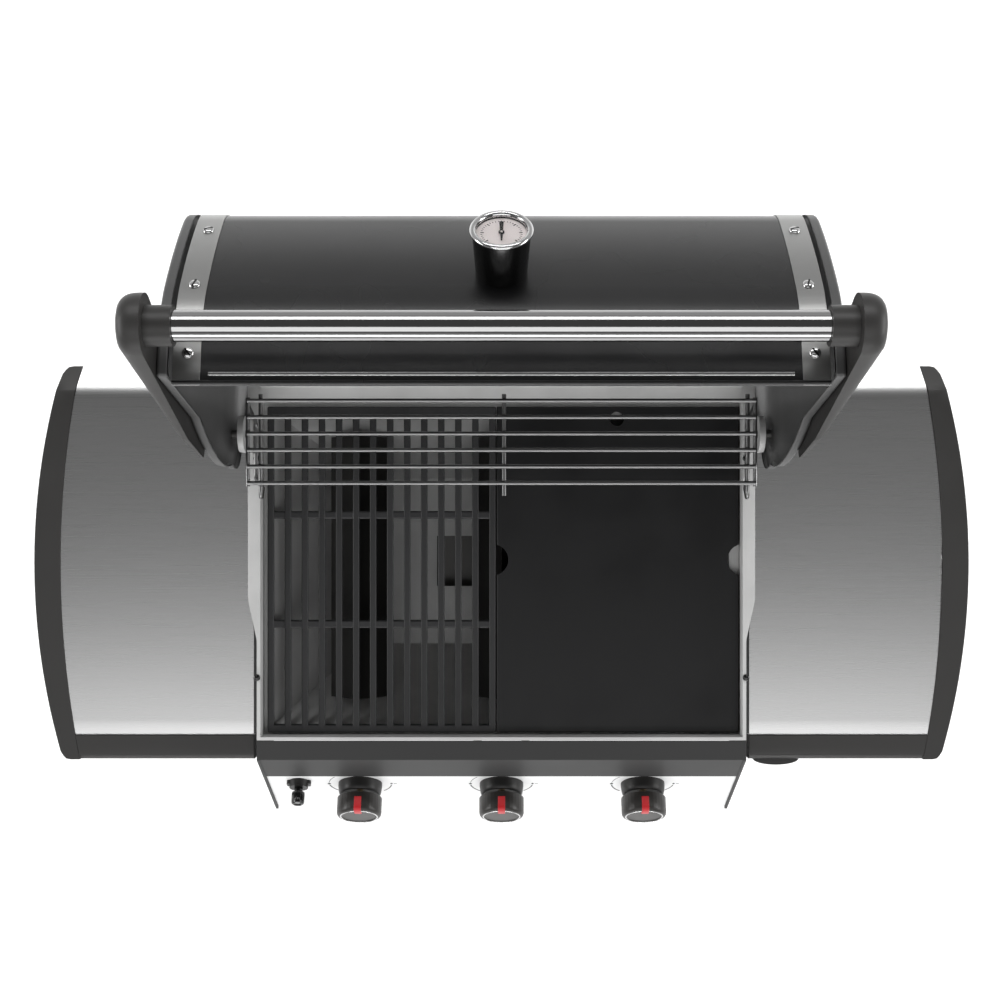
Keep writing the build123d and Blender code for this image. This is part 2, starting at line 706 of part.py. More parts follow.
with BuildPart() as igniter_body:
    turned(IGNITER_X, IGNITER_DOWN, ((5.5, -22), (11, -22), (11, -SHEET), (5.5, -SHEET)))
    turned(IGNITER_X, IGNITER_DOWN, ((5.5, 0), (13, 0), (12, 9), (5.5, 9)))
    igniter_plane = Plane(
        origin=panel_point(IGNITER_X, IGNITER_DOWN, 0), x_dir=(1, 0, 0), z_dir=PANEL_OUT
    )
    with BuildSketch(igniter_plane):
        RectangleRounded(31, 12, 3)
        Circle(6.5, mode=Mode.SUBTRACT)
    extrude(amount=5)
    with BuildSketch(igniter_plane.offset(-SHEET - 1)):
        Circle(6.3)
        Circle(5.5, mode=Mode.SUBTRACT)
    extrude(amount=SHEET + 2)
finish(igniter_body.part, "igniter_body")

with BuildPart() as igniter_button:
    turned(
        IGNITER_X,
        IGNITER_DOWN,
        (
            (0, -14),
            (5.5 - RUNNING, -14),
            (5.5 - RUNNING, 14.5),
            (8.5, 14.5),
            (8.5, 30),
            (7.5, 32),
            (0, 32),
        ),
    )
finish(igniter_button.part, "igniter_button")


# ---- Side tables ----
def table_region(front, rear, jog):
    """Plan of a table from its inner edge to its end cap's curve, between two depths."""
    with BuildLine() as outline:
        ThreePointArc(
            (CAP_IN_CORNER, TRIM_FRONT),
            (CAP_IN_MIDDLE, (TRIM_FRONT + TABLE_REAR) / 2),
            (CAP_IN_CORNER, TABLE_REAR),
        )
        Polyline(
            (CAP_IN_CORNER, TABLE_REAR),
            (TABLE_NOTCH, TABLE_REAR),
            (TABLE_NOTCH, NOTCH_FRONT),
            (TABLE_IN_REAR if jog else TABLE_IN_FRONT, NOTCH_FRONT),
            (TABLE_IN_REAR if jog else TABLE_IN_FRONT, RIM_BEND_REAR - 10),
            (TABLE_IN_FRONT, RIM_BEND_FRONT + 15),
            (TABLE_IN_FRONT, TRIM_FRONT),
            (CAP_IN_CORNER, TRIM_FRONT),
        )
    make_face(outline.edges())
    with Locations(((TABLE_IN_FRONT + CAP_IN_MIDDLE) / 2, (front + rear) / 2)):
        Rectangle(400, rear - front, mode=Mode.INTERSECT)


with BuildPart() as table_top:
    with BuildSketch(Plane.YZ.offset(TABLE_IN_FRONT - 1)):
        with BuildLine():
            Polyline(
                (TABLE_FRONT, TABLE_Z - 22),
                (TABLE_FRONT, TABLE_Z),
                (TABLE_CREASE, TABLE_Z),
                (TABLE_REAR, TABLE_Z - TABLE_DROP),
                (TABLE_REAR, TABLE_Z - TABLE_DROP - 20),
            )
            offset(amount=SHEET, side=Side.RIGHT, kind=Kind.INTERSECTION)
        make_face()
    extrude(amount=CAP_IN_MIDDLE - TABLE_IN_FRONT + 2)
    with BuildSketch(Plane.XY.offset(TABLE_Z - 60)):
        table_region(TABLE_FRONT, TABLE_REAR, True)
    extrude(amount=80, mode=Mode.INTERSECT)
twins(table_top.part, "table_top")

with BuildPart() as table_trim:
    with BuildSketch(Plane.XY.offset(TABLE_Z + 1)):
        table_region(TRIM_FRONT, TABLE_FRONT, True)
    extrude(amount=-CAP_H)
    front_face = table_trim.faces().filter_by(Axis.Y).sort_by(Axis.Y)[0]
    fillet(front_face.edges().filter_by(Axis.X).sort_by(Axis.Z)[-1], 8)
twins(table_trim.part, "table_front_trim")

with BuildPart() as table_cap:
    with BuildSketch(Plane.XY.offset(TABLE_Z + 1)) as cap_plan:
        with BuildLine():
            middle_y = (TRIM_FRONT + TABLE_REAR) / 2
            ThreePointArc(
                (CAP_OUT_CORNER, TRIM_FRONT), (CAP_OUT_MIDDLE, middle_y), (CAP_OUT_CORNER, TABLE_REAR)
            )
            ThreePointArc(
                (CAP_IN_CORNER, TRIM_FRONT), (CAP_IN_MIDDLE, middle_y), (CAP_IN_CORNER, TABLE_REAR)
            )
            Line((CAP_IN_CORNER, TRIM_FRONT), (CAP_OUT_CORNER, TRIM_FRONT))
            Line((CAP_IN_CORNER, TABLE_REAR), (CAP_OUT_CORNER, TABLE_REAR))
        make_face()
        fillet(cap_plan.vertices().filter_by_position(Axis.X, CAP_OUT_CORNER - 1, CAP_OUT_MIDDLE), 12)
    extrude(amount=-CAP_H)
    with BuildSketch(Plane.YZ.offset(CAP_IN_CORNER - 5)):
        with BuildLine():
            Polyline(
                (TABLE_CREASE, TABLE_Z + 1),
                (TABLE_REAR + 1, TABLE_Z + 1 - TABLE_DROP),
                (TABLE_REAR + 1, TABLE_Z + 5),
                (TABLE_CREASE, TABLE_Z + 5),
                close=True,
            )
        make_face()
    extrude(amount=80, mode=Mode.SUBTRACT)
    outer_rim = table_cap.faces().sort_by(Axis.Z)[-1].edges().sort_by(Axis.X)[-1]
    chamfer(outer_rim, 9, 5)
twins(table_cap.part, "table_end_cap")

with BuildPart() as table_arms:
    for side in (-1, 1):
        for y in (GRILL_Y - 250, GRILL_Y + 20):
            ends = sorted((side * (OPENING_HALF_X + WALL), side * 530))
            slab(ends[0], ends[1], y - 12, y + 12, TABLE_Z - SHEET - 20, TABLE_Z - SHEET)
        rail = sorted((side * (OPENING_HALF_X + WALL), side * 322))
        slab(rail[0], rail[1], TABLE_FRONT + 2, GRILL_Y + 86, TABLE_Z - SHEET - 20, TABLE_Z - SHEET)
finish(table_arms.part, "table_arms")

with BuildPart() as bottle_opener:
    opener_x = 349.0
    with BuildSketch(Plane.XY.offset(TABLE_Z - 8)):
        with Locations((opener_x, TRIM_FRONT)):
            Ellipse(29, 8)
            with Locations((0, 10)):
                Rectangle(80, 20, mode=Mode.SUBTRACT)
    extrude(amount=-38)
    slab(opener_x - 12, opener_x + 12, TRIM_FRONT - 6, TRIM_FRONT, TABLE_Z - 50, TABLE_Z - 20, Mode.SUBTRACT)
finish(bottle_opener.part, "bottle_opener")

# ---- Cabinet ----
with BuildPart() as cabinet_side:
    inside = CABINET_HALF_X - SHEET
    slab(inside, CABINET_HALF_X, CABINET_FRONT, CABINET_REAR, SIDE_BOTTOM_Z, SIDE_TOP_Z)
    slab(inside - 22, inside, CABINET_FRONT, CABINET_FRONT + SHEET, SHELF_Z, RAIL_Z)
    slab(inside - 22, inside, CABINET_REAR - SHEET, CABINET_REAR, SHELF_Z, RIM_Z - 75)
twins(cabinet_side.part, "cabinet_side")

with BuildPart() as back_panel:
    slab(-278, 278, CABINET_REAR - 2 * SHEET, CABINET_REAR - SHEET, SHELF_Z, 560)
finish(back_panel.part, "back_panel")

with BuildPart() as base_shelf:
    half = CABINET_HALF_X - SHEET
    slab(-half, half, DOOR_FRONT, CABINET_REAR, SHELF_Z - 2, SHELF_Z)
    slab(-half, half, DOOR_FRONT, DOOR_FRONT + 2, SHELF_Z - 16, SHELF_Z)
    slab(-half, half, CABINET_REAR - 2, CABINET_REAR, SHELF_Z - 16, SHELF_Z)
    pad_x, pad_front, pad_rear = half - 30, CABINET_FRONT + 12, CABINET_REAR - 14
    slab(-pad_x, pad_x, pad_front, pad_rear, SHELF_Z, SHELF_Z + SHELF_RISE)
    slab(
        -pad_x + 2,
        pad_x - 2,
        pad_front + 2,
        pad_rear - 2,
        SHELF_Z - 2,
        SHELF_Z + SHELF_RISE - 2,
        Mode.SUBTRACT,
    )
    for x in (-DOOR_PIN_X, DOOR_PIN_X):
        rod((x, DOOR_PIN_Y, SHELF_Z - 1), (x, DOOR_PIN_Y, DOOR_BOTTOM + 12), DOOR_PIN_R)
finish(base_shelf.part, "base_shelf")

with BuildPart() as front_rail:
    half = CABINET_HALF_X - SHEET
    slab(-half, half, DOOR_FRONT, CABINET_FRONT + 16, RAIL_Z, RAIL_Z + 2)
    slab(-half, half, CABINET_FRONT + 14, CABINET_FRONT + 16, RAIL_Z, RAIL_Z + 22)
    for x in (-DOOR_PIN_X, DOOR_PIN_X):
        rod((x, DOOR_PIN_Y, DOOR_TOP - 12), (x, DOOR_PIN_Y, RAIL_Z + 1), DOOR_PIN_R)
finish(front_rail.part, "front_rail")

with BuildPart() as door:
    slab(1.5, 303, DOOR_FRONT, DOOR_REAR, DOOR_BOTTOM, DOOR_TOP)
    fillet(door.edges().filter_by(Axis.Z).group_by(Axis.Y)[0], 3)
    slab(3, 301.5, DOOR_FRONT + SHEET, DOOR_REAR, DOOR_BOTTOM + SHEET, DOOR_TOP - SHEET, Mode.SUBTRACT)
    for z in (DOOR_BOTTOM, DOOR_TOP - 16):
        slab(DOOR_PIN_X - 9, 302, DOOR_FRONT + 1, DOOR_REAR, z, z + 16)
    rod(
        (DOOR_PIN_X, DOOR_PIN_Y, DOOR_BOTTOM - 1),
        (DOOR_PIN_X, DOOR_PIN_Y, DOOR_TOP + 1),
        DOOR_PIN_R + RUNNING,
        Mode.SUBTRACT,
    )
    for z in (DOOR_TOP - 220, DOOR_TOP - 60):
        rod((34, DOOR_FRONT + 1, z), (34, DOOR_FRONT - 30, z), 5)
    rod((34, DOOR_FRONT - 30, DOOR_TOP - 235), (34, DOOR_FRONT - 30, DOOR_TOP - 45), 6)
twins(door.part, "door")

# ---- Wheels at the right, feet at the left ----
with BuildPart() as axle:
    rod((WHEEL_X, WHEEL_YS[0] - 22, WHEEL_R), (WHEEL_X, WHEEL_YS[1] + 22, WHEEL_R), AXLE_R)
    for y in (WHEEL_YS[0] - 22, WHEEL_YS[0] + 18, WHEEL_YS[1] - 22, WHEEL_YS[1] + 18):
        slab(WHEEL_X - 16, WHEEL_X + 16, y, y + 4, WHEEL_R - 12, SHELF_Z - 2)
finish(axle.part, "axle")

for wheel_y, place in zip(WHEEL_YS, ("front", "rear")):
    with BuildPart() as wheel:
        with BuildSketch(Plane.XZ.offset(-wheel_y - WHEEL_W / 2)):
            with Locations((WHEEL_X, WHEEL_R)):
                Circle(WHEEL_R)
        extrude(amount=WHEEL_W)
        fillet(wheel.edges().filter_by(GeomType.CIRCLE), 6)
        rod(
            (WHEEL_X, wheel_y - WHEEL_W, WHEEL_R),
            (WHEEL_X, wheel_y + WHEEL_W, WHEEL_R),
            AXLE_R + RUNNING,
            Mode.SUBTRACT,
        )
    finish(wheel.part, f"wheel_{place}")

with BuildPart() as feet:
    for wheel_y in WHEEL_YS:
        slab(FOOT_X - 15, FOOT_X + 15, wheel_y - 15, wheel_y + 15, 10, SHELF_Z - 2)
        rod((FOOT_X, wheel_y, 0), (FOOT_X, wheel_y, 14), 24)
finish(feet.part, "feet")

# ---- Drip tray on its rails, with a grease cup ----
with BuildPart() as tray_rails:
    for side in (-1, 1):
        lip = sorted((side * (TRAY_HALF_X + GAP), side * (TRAY_HALF_X + 18)))
        web = sorted((side * (TRAY_HALF_X + 16), side * (TRAY_HALF_X + 18)))
        slab(lip[0], lip[1], TRAY_FRONT, TRAY_REAR, TRAY_TOP_Z - 5, TRAY_TOP_Z - 3)
        slab(web[0], web[1], TRAY_FRONT, TRAY_REAR, TRAY_TOP_Z - 5, BOWL_FLOOR_Z)
finish(tray_rails.part, "tray_rails")

with BuildPart() as drip_tray:
    tray_floor = TRAY_TOP_Z - TRAY_DEPTH
    slab(-TRAY_HALF_X, TRAY_HALF_X, TRAY_FRONT, TRAY_REAR, tray_floor, TRAY_TOP_Z)
    slab(
        -TRAY_HALF_X - 14,
        TRAY_HALF_X + 14,
        TRAY_FRONT,
        TRAY_REAR,
        TRAY_TOP_Z - 2.5,
        TRAY_TOP_Z,
    )
    slab(
        -TRAY_HALF_X + TRAY_T,
        TRAY_HALF_X - TRAY_T,
        TRAY_FRONT + TRAY_T,
        TRAY_REAR - TRAY_T,
        tray_floor + TRAY_T,
        TRAY_TOP_Z + 1,
        Mode.SUBTRACT,
    )
    tray_middle = (TRAY_FRONT + TRAY_REAR) / 2
    rod((0, tray_middle, tray_floor - 1), (0, tray_middle, TRAY_TOP_Z), 10, Mode.SUBTRACT)
finish(drip_tray.part, "drip_tray")

with BuildPart() as grease_cup:
    with BuildSketch(Plane.XY.offset(tray_floor)):
        with Locations((0, tray_middle)):
            RectangleRounded(110, 80, 10)
    extrude(amount=-48, taper=6)
    with BuildSketch(Plane.XY.offset(tray_floor)):
        with Locations((0, tray_middle)):
            RectangleRounded(106, 76, 8)
    extrude(amount=-46, taper=6, mode=Mode.SUBTRACT)
finish(grease_cup.part, "grease_cup")
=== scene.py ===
import bmesh
import bpy
import json
from math import cos, pi, radians, sin
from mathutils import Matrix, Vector


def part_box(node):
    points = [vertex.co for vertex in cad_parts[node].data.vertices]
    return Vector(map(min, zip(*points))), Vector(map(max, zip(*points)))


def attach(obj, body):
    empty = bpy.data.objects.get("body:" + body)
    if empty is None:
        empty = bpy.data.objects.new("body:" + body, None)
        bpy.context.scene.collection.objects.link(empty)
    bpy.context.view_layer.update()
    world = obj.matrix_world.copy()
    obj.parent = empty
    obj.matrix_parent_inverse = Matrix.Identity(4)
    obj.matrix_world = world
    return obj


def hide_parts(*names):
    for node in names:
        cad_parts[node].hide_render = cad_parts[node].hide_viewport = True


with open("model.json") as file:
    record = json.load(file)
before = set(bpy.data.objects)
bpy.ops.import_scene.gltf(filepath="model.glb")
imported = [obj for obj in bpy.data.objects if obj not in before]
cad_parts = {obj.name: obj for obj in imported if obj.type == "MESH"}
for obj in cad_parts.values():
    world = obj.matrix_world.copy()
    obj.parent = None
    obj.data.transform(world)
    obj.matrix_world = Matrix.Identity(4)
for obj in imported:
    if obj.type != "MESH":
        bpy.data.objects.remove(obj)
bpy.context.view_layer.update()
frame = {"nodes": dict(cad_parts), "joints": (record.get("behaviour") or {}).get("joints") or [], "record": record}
NODES = frame["nodes"]
JOINTS = {j["name"]: j for j in frame["joints"]}
SLOTS = {s["node"]: s["material_slot"] for s in frame["record"]["subparts"]}

# ---- Places worked out from the frame ----
HINGE_FROM_MIDDLE = 0.080
RIM_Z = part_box("front_ledge")[1].z
HINGE = Vector(JOINTS["hood_hinge"]["pos_m"])
OPEN = radians(JOINTS["hood_hinge"]["range_deg"][1])
GRILL_Y = HINGE.y - HINGE_FROM_MIDDLE


def hood_place(x, u, v):
    """A place in the closed hood's section, in metres from the hinge, carried to the open hood."""
    y = HINGE.y + u * cos(OPEN) + v * sin(OPEN)
    z = HINGE.z - u * sin(OPEN) + v * cos(OPEN)
    return Vector((x, y, z))


def hood_direction(u, v):
    """A direction in the closed hood's section, turned with the open hood."""
    return Vector((0, u * cos(OPEN) + v * sin(OPEN), -u * sin(OPEN) + v * cos(OPEN)))


# ---- Camera: straight down over the middle of the firebox ----
CAMERA_HEIGHT, CAMERA_LENS, CAMERA_SENSOR, CAMERA_SHIFT = 1.95, 56.16, 36, -0.0015
camera_data = bpy.data.cameras.new("camera")
camera_data.lens = CAMERA_LENS
camera_data.sensor_width = CAMERA_SENSOR
camera_data.shift_x = CAMERA_SHIFT
camera = bpy.data.objects.new("camera", camera_data)
camera.location = (0, GRILL_Y, RIM_Z + CAMERA_HEIGHT)
bpy.context.scene.collection.objects.link(camera)
bpy.context.scene.camera = camera


# ---- Material helpers ----
EDGE_RADIUS, EDGE_SAMPLES = 0.0006, 4


class Shader:
    """A Principled material with short calls for the nodes that every finish here uses."""

    def __init__(self, name, color, roughness, metallic=0.0, **sockets):
        self.material = bpy.data.materials.new(name)
        self.material.use_nodes = True
        self.tree = self.material.node_tree
        self.bsdf = self.tree.nodes["Principled BSDF"]
        self.bsdf.inputs["Base Color"].default_value = (*color, 1)
        self.bsdf.inputs["Roughness"].default_value = roughness
        self.bsdf.inputs["Metallic"].default_value = metallic
        for socket, value in sockets.items():
            self.bsdf.inputs[socket.replace("_", " ")].default_value = value
        self.color = color
        self.coords = self.tree.nodes.new("ShaderNodeTexCoord").outputs["Object"]
        edge = self.tree.nodes.new("ShaderNodeBevel")
        edge.samples = EDGE_SAMPLES
        edge.inputs["Radius"].default_value = EDGE_RADIUS
        self.edge = edge.outputs["Normal"]
        self.tree.links.new(self.edge, self.bsdf.inputs["Normal"])

    def noise(self, scale, detail=4.0, stretch=(1, 1, 1), roughness=0.55):
        """A noise value in the piece's own space, stretched along its axes."""
        mapping = self.tree.nodes.new("ShaderNodeMapping")
        mapping.inputs["Scale"].default_value = stretch
        self.tree.links.new(self.coords, mapping.inputs["Vector"])
        node = self.tree.nodes.new("ShaderNodeTexNoise")
        node.inputs["Scale"].default_value = scale
        node.inputs["Detail"].default_value = detail
        node.inputs["Roughness"].default_value = roughness
        self.tree.links.new(mapping.outputs["Vector"], node.inputs["Vector"])
        return node.outputs["Fac"]

    def ramp(self, fac, low, high, start=0.3, end=0.7):
        """The value carried from start..end to low..high."""
        node = self.tree.nodes.new("ShaderNodeMapRange")
        node.inputs["From Min"].default_value = start
        node.inputs["From Max"].default_value = end
        node.inputs["To Min"].default_value = low
        node.inputs["To Max"].default_value = high
        self.tree.links.new(fac, node.inputs["Value"])
        return node.outputs["Result"]

    def vary_color(self, fac, dark, light):
        """Blends the base color between a darker and a lighter share of itself."""
        node = self.tree.nodes.new("ShaderNodeMix")
        node.data_type = "RGBA"
        node.inputs["A"].default_value = (*[c * dark for c in self.color], 1)
        node.inputs["B"].default_value = (*[min(1, c * light) for c in self.color], 1)
        self.tree.links.new(fac, node.inputs["Factor"])
        self.tree.links.new(node.outputs["Result"], self.bsdf.inputs["Base Color"])
        return self

    def vary_rough(self, fac, low, high):
        """Moves the roughness between two values."""
        value = self.ramp(fac, low, high)
        self.tree.links.new(value, self.bsdf.inputs["Roughness"])
        return self

    def bump(self, fac, depth, strength=0.4):
        """Raises the surface by the value, on top of the rounded edges."""
        node = self.tree.nodes.new("ShaderNodeBump")
        node.inputs["Strength"].default_value = strength
        node.inputs["Distance"].default_value = depth
        self.tree.links.new(fac, node.inputs["Height"])
        self.tree.links.new(self.edge, node.inputs["Normal"])
        self.tree.links.new(node.outputs["Normal"], self.bsdf.inputs["Normal"])
        return self


def brushed(name, color, roughness, stretch=(3, 400, 400), depth=0.04):
    """Brushed steel, its grain stretched along one axis."""
    shader = Shader(name, color, roughness, 1.0)
    grain = shader.noise(4.0, 5.0, stretch)
    shader.vary_color(grain, 1 - depth, 1 + depth)
    shader.vary_rough(grain, roughness - 2 * depth * roughness, roughness + 2 * depth * roughness)
    shader.bump(grain, 0.00002, 4 * depth)
    return shader.material


def plastic(name, color, roughness, grain_scale=900.0, gloss=0.4):
    """Moulded plastic with a fine spark-eroded grain."""
    shader = Shader(name, color, roughness, Specular_IOR_Level=gloss)
    grain = shader.noise(grain_scale, 2.0)
    cloud = shader.noise(9.0, 3.0)
    shader.vary_color(cloud, 0.90, 1.10)
    shader.vary_rough(cloud, roughness - 0.05, roughness + 0.05)
    shader.bump(grain, 0.00008, 0.3)
    return shader.material


def painted(name, color, roughness, peel=0.00005, gloss=0.5):
    """Powder paint or enamel with a faint orange peel."""
    shader = Shader(
        name,
        color,
        roughness,
        Coat_Weight=0.3 * gloss,
        Coat_Roughness=0.25,
        Specular_IOR_Level=gloss,
    )
    peel_noise = shader.noise(260.0, 2.0)
    cloud = shader.noise(6.0, 3.0)
    shader.vary_color(cloud, 0.93, 1.07)
    shader.vary_rough(cloud, roughness - 0.04, roughness + 0.05)
    shader.bump(peel_noise, peel, 0.25)
    return shader.material


def cast(name, color, roughness, metallic, depth, gloss=0.5):
    """A sand-cast surface: coarse and fine lumps."""
    shader = Shader(name, color, roughness, metallic, Specular_IOR_Level=gloss)
    lumps = shader.noise(420.0, 6.0, roughness=0.7)
    cloud = shader.noise(14.0, 4.0)
    shader.vary_color(cloud, 0.80, 1.20)
    shader.vary_rough(cloud, roughness - 0.08, roughness + 0.08)
    shader.bump(lumps, depth, 0.5)
    return shader.material


def chrome(name, color, roughness):
    """Polished metal with faint handling marks."""
    shader = Shader(name, color, roughness, 1.0)
    cloud = shader.noise(30.0, 4.0)
    shader.vary_rough(cloud, roughness, roughness + 0.05)
    return shader.material


MATERIALS = {
    "cast_aluminium": cast("cast_aluminium", (0.58, 0.58, 0.575), 0.50, 0.15, 0.00012),
    "black_enamel": painted("black_enamel", (0.0035, 0.0035, 0.0038), 0.26),
    "steel_brushed": brushed("steel_brushed", (0.46, 0.46, 0.455), 0.34),
    "stainless_dark": brushed("stainless_dark", (0.13, 0.128, 0.125), 0.42),
    "chrome": chrome("chrome", (0.55, 0.55, 0.55), 0.10),
    "cast_iron": cast("cast_iron", (0.012, 0.012, 0.013), 0.55, 0.0, 0.00016),
    "grey_plastic": plastic("grey_plastic", (0.024, 0.023, 0.022), 0.46),
    "dark_plastic": plastic("dark_plastic", (0.010, 0.0095, 0.009), 0.42),
    "black_gloss": painted("black_gloss", (0.003, 0.003, 0.003), 0.12, 0.00001),
    "panel_paint": painted("panel_paint", (0.86, 0.86, 0.86), 0.40),
    "ledge_paint": painted("ledge_paint", (0.036, 0.036, 0.036), 0.62, gloss=0.25),
    "cabinet_paint": painted("cabinet_paint", (0.014, 0.014, 0.015), 0.38),
    "dial_face": painted("dial_face", (0.72, 0.66, 0.65), 0.50),
    "brass": brushed("brass", (0.62, 0.44, 0.20), 0.32),
    "tyre": plastic("tyre", (0.012, 0.012, 0.012), 0.70, 500.0),
}
# Finishes of single pieces that differ from their slot's own.
MATERIALS["rack_wire"] = chrome("rack_wire", (0.22, 0.22, 0.22), 0.34)
MATERIALS["handle_chrome"] = chrome("handle_chrome", (0.38, 0.38, 0.38), 0.05)
MATERIALS["griddle_iron"] = cast("griddle_iron", (0.005, 0.005, 0.0055), 0.42, 0.0, 0.00006, gloss=0.3)
MATERIALS["grate_iron"] = cast("grate_iron", (0.017, 0.017, 0.018), 0.50, 0.0, 0.00016, gloss=0.4)
MATERIALS["trim_brushed"] = brushed("trim_brushed", (0.34, 0.34, 0.335), 0.30, (3, 300, 300))
MATERIALS["table_steel"] = brushed("table_steel", (0.50, 0.50, 0.50), 0.28, (1.5, 700, 700), 0.02)
MATERIALS["cap_grey"] = painted("cap_grey", (0.06, 0.06, 0.06), 0.45)
MATERIALS["marker_red"] = plastic("marker_red", (0.52, 0.014, 0.020), 0.35)
MATERIALS["knob_body"] = plastic("knob_body", (0.022, 0.020, 0.018), 0.38)
MATERIALS["ink"] = painted("ink", (0.008, 0.008, 0.008), 0.5)
MATERIALS["glass"] = Shader("glass", (1, 1, 1), 0.03, Transmission_Weight=1.0, IOR=1.1).material

FINISHES = {"warming_rack": "rack_wire", "griddle_plate": "griddle_iron", "handle_bar": "handle_chrome"}
for node, piece in NODES.items():
    piece.data.materials.clear()
    piece.data.materials.append(MATERIALS[FINISHES.get(node, SLOTS[node])])


# ---- Mesh helpers ----
WELD = 0.00001


def finish_piece(bm, name, slot, body, replaced=(), bevel=0.0, segments=3, angle=30, material=None):
    """Turns a bmesh into a finished piece: shading, bevel, material (the slot's own unless one is given), body,
    and the replaced nodes hidden.
    """
    bmesh.ops.remove_doubles(bm, verts=bm.verts, dist=WELD)
    bmesh.ops.recalc_face_normals(bm, faces=bm.faces)
    mesh = bpy.data.meshes.new(name)
    bm.to_mesh(mesh)
    bm.free()
    mesh.shade_smooth()
    mesh.set_sharp_from_angle(angle=radians(angle))
    piece = bpy.data.objects.new(name, mesh)
    bpy.context.scene.collection.objects.link(piece)
    mesh.materials.append(material or MATERIALS[slot])
    if bevel:
        edge = piece.modifiers.new("edge", "BEVEL")
        edge.width = bevel
        edge.segments = segments
        edge.limit_method = "ANGLE"
        edge.angle_limit = radians(angle)
        edge.harden_normals = True
        mesh.shade_smooth()
    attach(piece, body)
    if replaced:
        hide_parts(*replaced)
    return piece


def arc_points(center, radius, start, end, steps):
    """Points round an arc, its angles in degrees."""
    turns = [radians(start + (end - start) * i / steps) for i in range(steps + 1)]
    return [(center[0] + radius * cos(t), center[1] + radius * sin(t)) for t in turns]


def smooth_points(points, steps=6):
    """Points along a smooth curve through the given ones."""
    found = []
    for i in range(len(points) - 1):
        before = Vector(points[max(i - 1, 0)])
        a, b = Vector(points[i]), Vector(points[i + 1])
        after = Vector(points[min(i + 2, len(points) - 1)])
        for k in range(steps):
            t = k / steps
            found.append(
                0.5
                * (
                    2 * a
                    + (b - before) * t
                    + (2 * before - 5 * a + 4 * b - after) * t**2
                    + (3 * a - before - 3 * b + after) * t**3
                )
            )
    return [(q.x, q.y) for q in found] + [tuple(points[-1])]


def add_prism(bm, outline, low, high, place):
    """A prism over an outline, its ends at low and high; place turns (a, b, end) into a point."""
    ends = [[bm.verts.new(place(a, b, e)) for a, b in outline] for e in (low, high)]
    bm.faces.new(ends[0][::-1])
    bm.faces.new(ends[1])
    count = len(outline)
    for i in range(count):
        j = (i + 1) % count
        bm.faces.new((ends[0][i], ends[0][j], ends[1][j], ends[1][i]))
    return ends


def add_lathe(bm, profile, origin, axis, segments=64, side=None, wave=None):
    """A turned form: profile holds (radius, height) pairs along an axis from an origin.

    A wave holds flutes, their depth, and the first and last place in the profile that they cut.
    """
    axis = Vector(axis).normalized()
    side = (side or axis.orthogonal()).normalized()
    other = axis.cross(side)
    rings = []
    for row, (radius, height) in enumerate(profile):
        middle = Vector(origin) + axis * height
        flutes, depth = (wave[0], wave[1]) if wave and wave[2] <= row + 1 <= wave[3] else (0, 0)
        if radius < 1e-7:
            rings.append([bm.verts.new(middle)])
            continue
        turns = [2 * pi * k / segments for k in range(segments)]
        ways = [side * cos(t) + other * sin(t) for t in turns]
        reach = [radius - depth * (0.5 - 0.5 * cos(flutes * t)) for t in turns]
        rings.append([bm.verts.new(middle + r * way) for r, way in zip(reach, ways)])
    for low, high in zip(rings, rings[1:]):
        for k in range(segments):
            n = (k + 1) % segments
            corners = [low[k % len(low)], low[n % len(low)], high[n % len(high)], high[k % len(high)]]
            corners = list(dict.fromkeys(corners))
            if len(corners) > 2:
                bm.faces.new(corners)


def add_box(bm, low, high):
    """A box between two corners."""
    outline = [(low[0], low[1]), (high[0], low[1]), (high[0], high[1]), (low[0], high[1])]
    return add_prism(bm, outline, low[2], high[2], lambda a, b, e: (a, b, e))


def piece_of(build, name, slot, body, replaced=(), **look):
    """Runs a building call on a fresh bmesh and finishes the piece."""
    bm = bmesh.new()
    build(bm)
    return finish_piece(bm, name, slot, body, replaced, **look)


# ---- Hood section, measured from the hinge with the hood closed, as in the design ----
HOOD_START = (-0.389, -0.0104)
HOOD_ARCS = ((0.1206, 149.4), (0.606, 138.1), (0.0671, 104.5), (0.521, 59.5))
HOOD_X, TRIM_X, CAP_X, ARM_X = 0.317, 0.290, 0.333, 0.358
HOOD_T, TRIM_T, LIP_V = 0.0025, 0.0012, -0.0575


def hood_centers():
    """Centre, radius, start and end angle of each arc of the hood's outline."""
    found = []
    start = 180.0
    u, v = HOOD_START[0] + HOOD_ARCS[0][0], HOOD_START[1]
    last = HOOD_ARCS[0][0]
    for radius, end in HOOD_ARCS:
        u += (last - radius) * cos(radians(start))
        v += (last - radius) * sin(radians(start))
        found.append(((u, v), radius, start, end))
        start, last = end, radius
    return found


def hood_spot(turn, out):
    """The place on the hood's outline that faces an angle, moved outwards by a distance."""
    for (u, v), radius, start, end in hood_centers():
        if turn >= end:
            return (u + (radius + out) * cos(radians(turn)), v + (radius + out) * sin(radians(turn)))


def hood_curve(out, lip_v=LIP_V):
    """The hood's section line from lip to rear edge, moved outwards by a distance."""
    line = [(HOOD_START[0] - out, lip_v), hood_spot(180.0, out)]
    for center, radius, start, end in hood_centers():
        line += arc_points(center, radius + out, start, end, max(8, int((start - end) * 0.6)))[1:]
    return line


def in_hood(u, v, x):
    """Placing call for a prism across the hood: the section first, then the place across."""
    return hood_place(x, u, v)


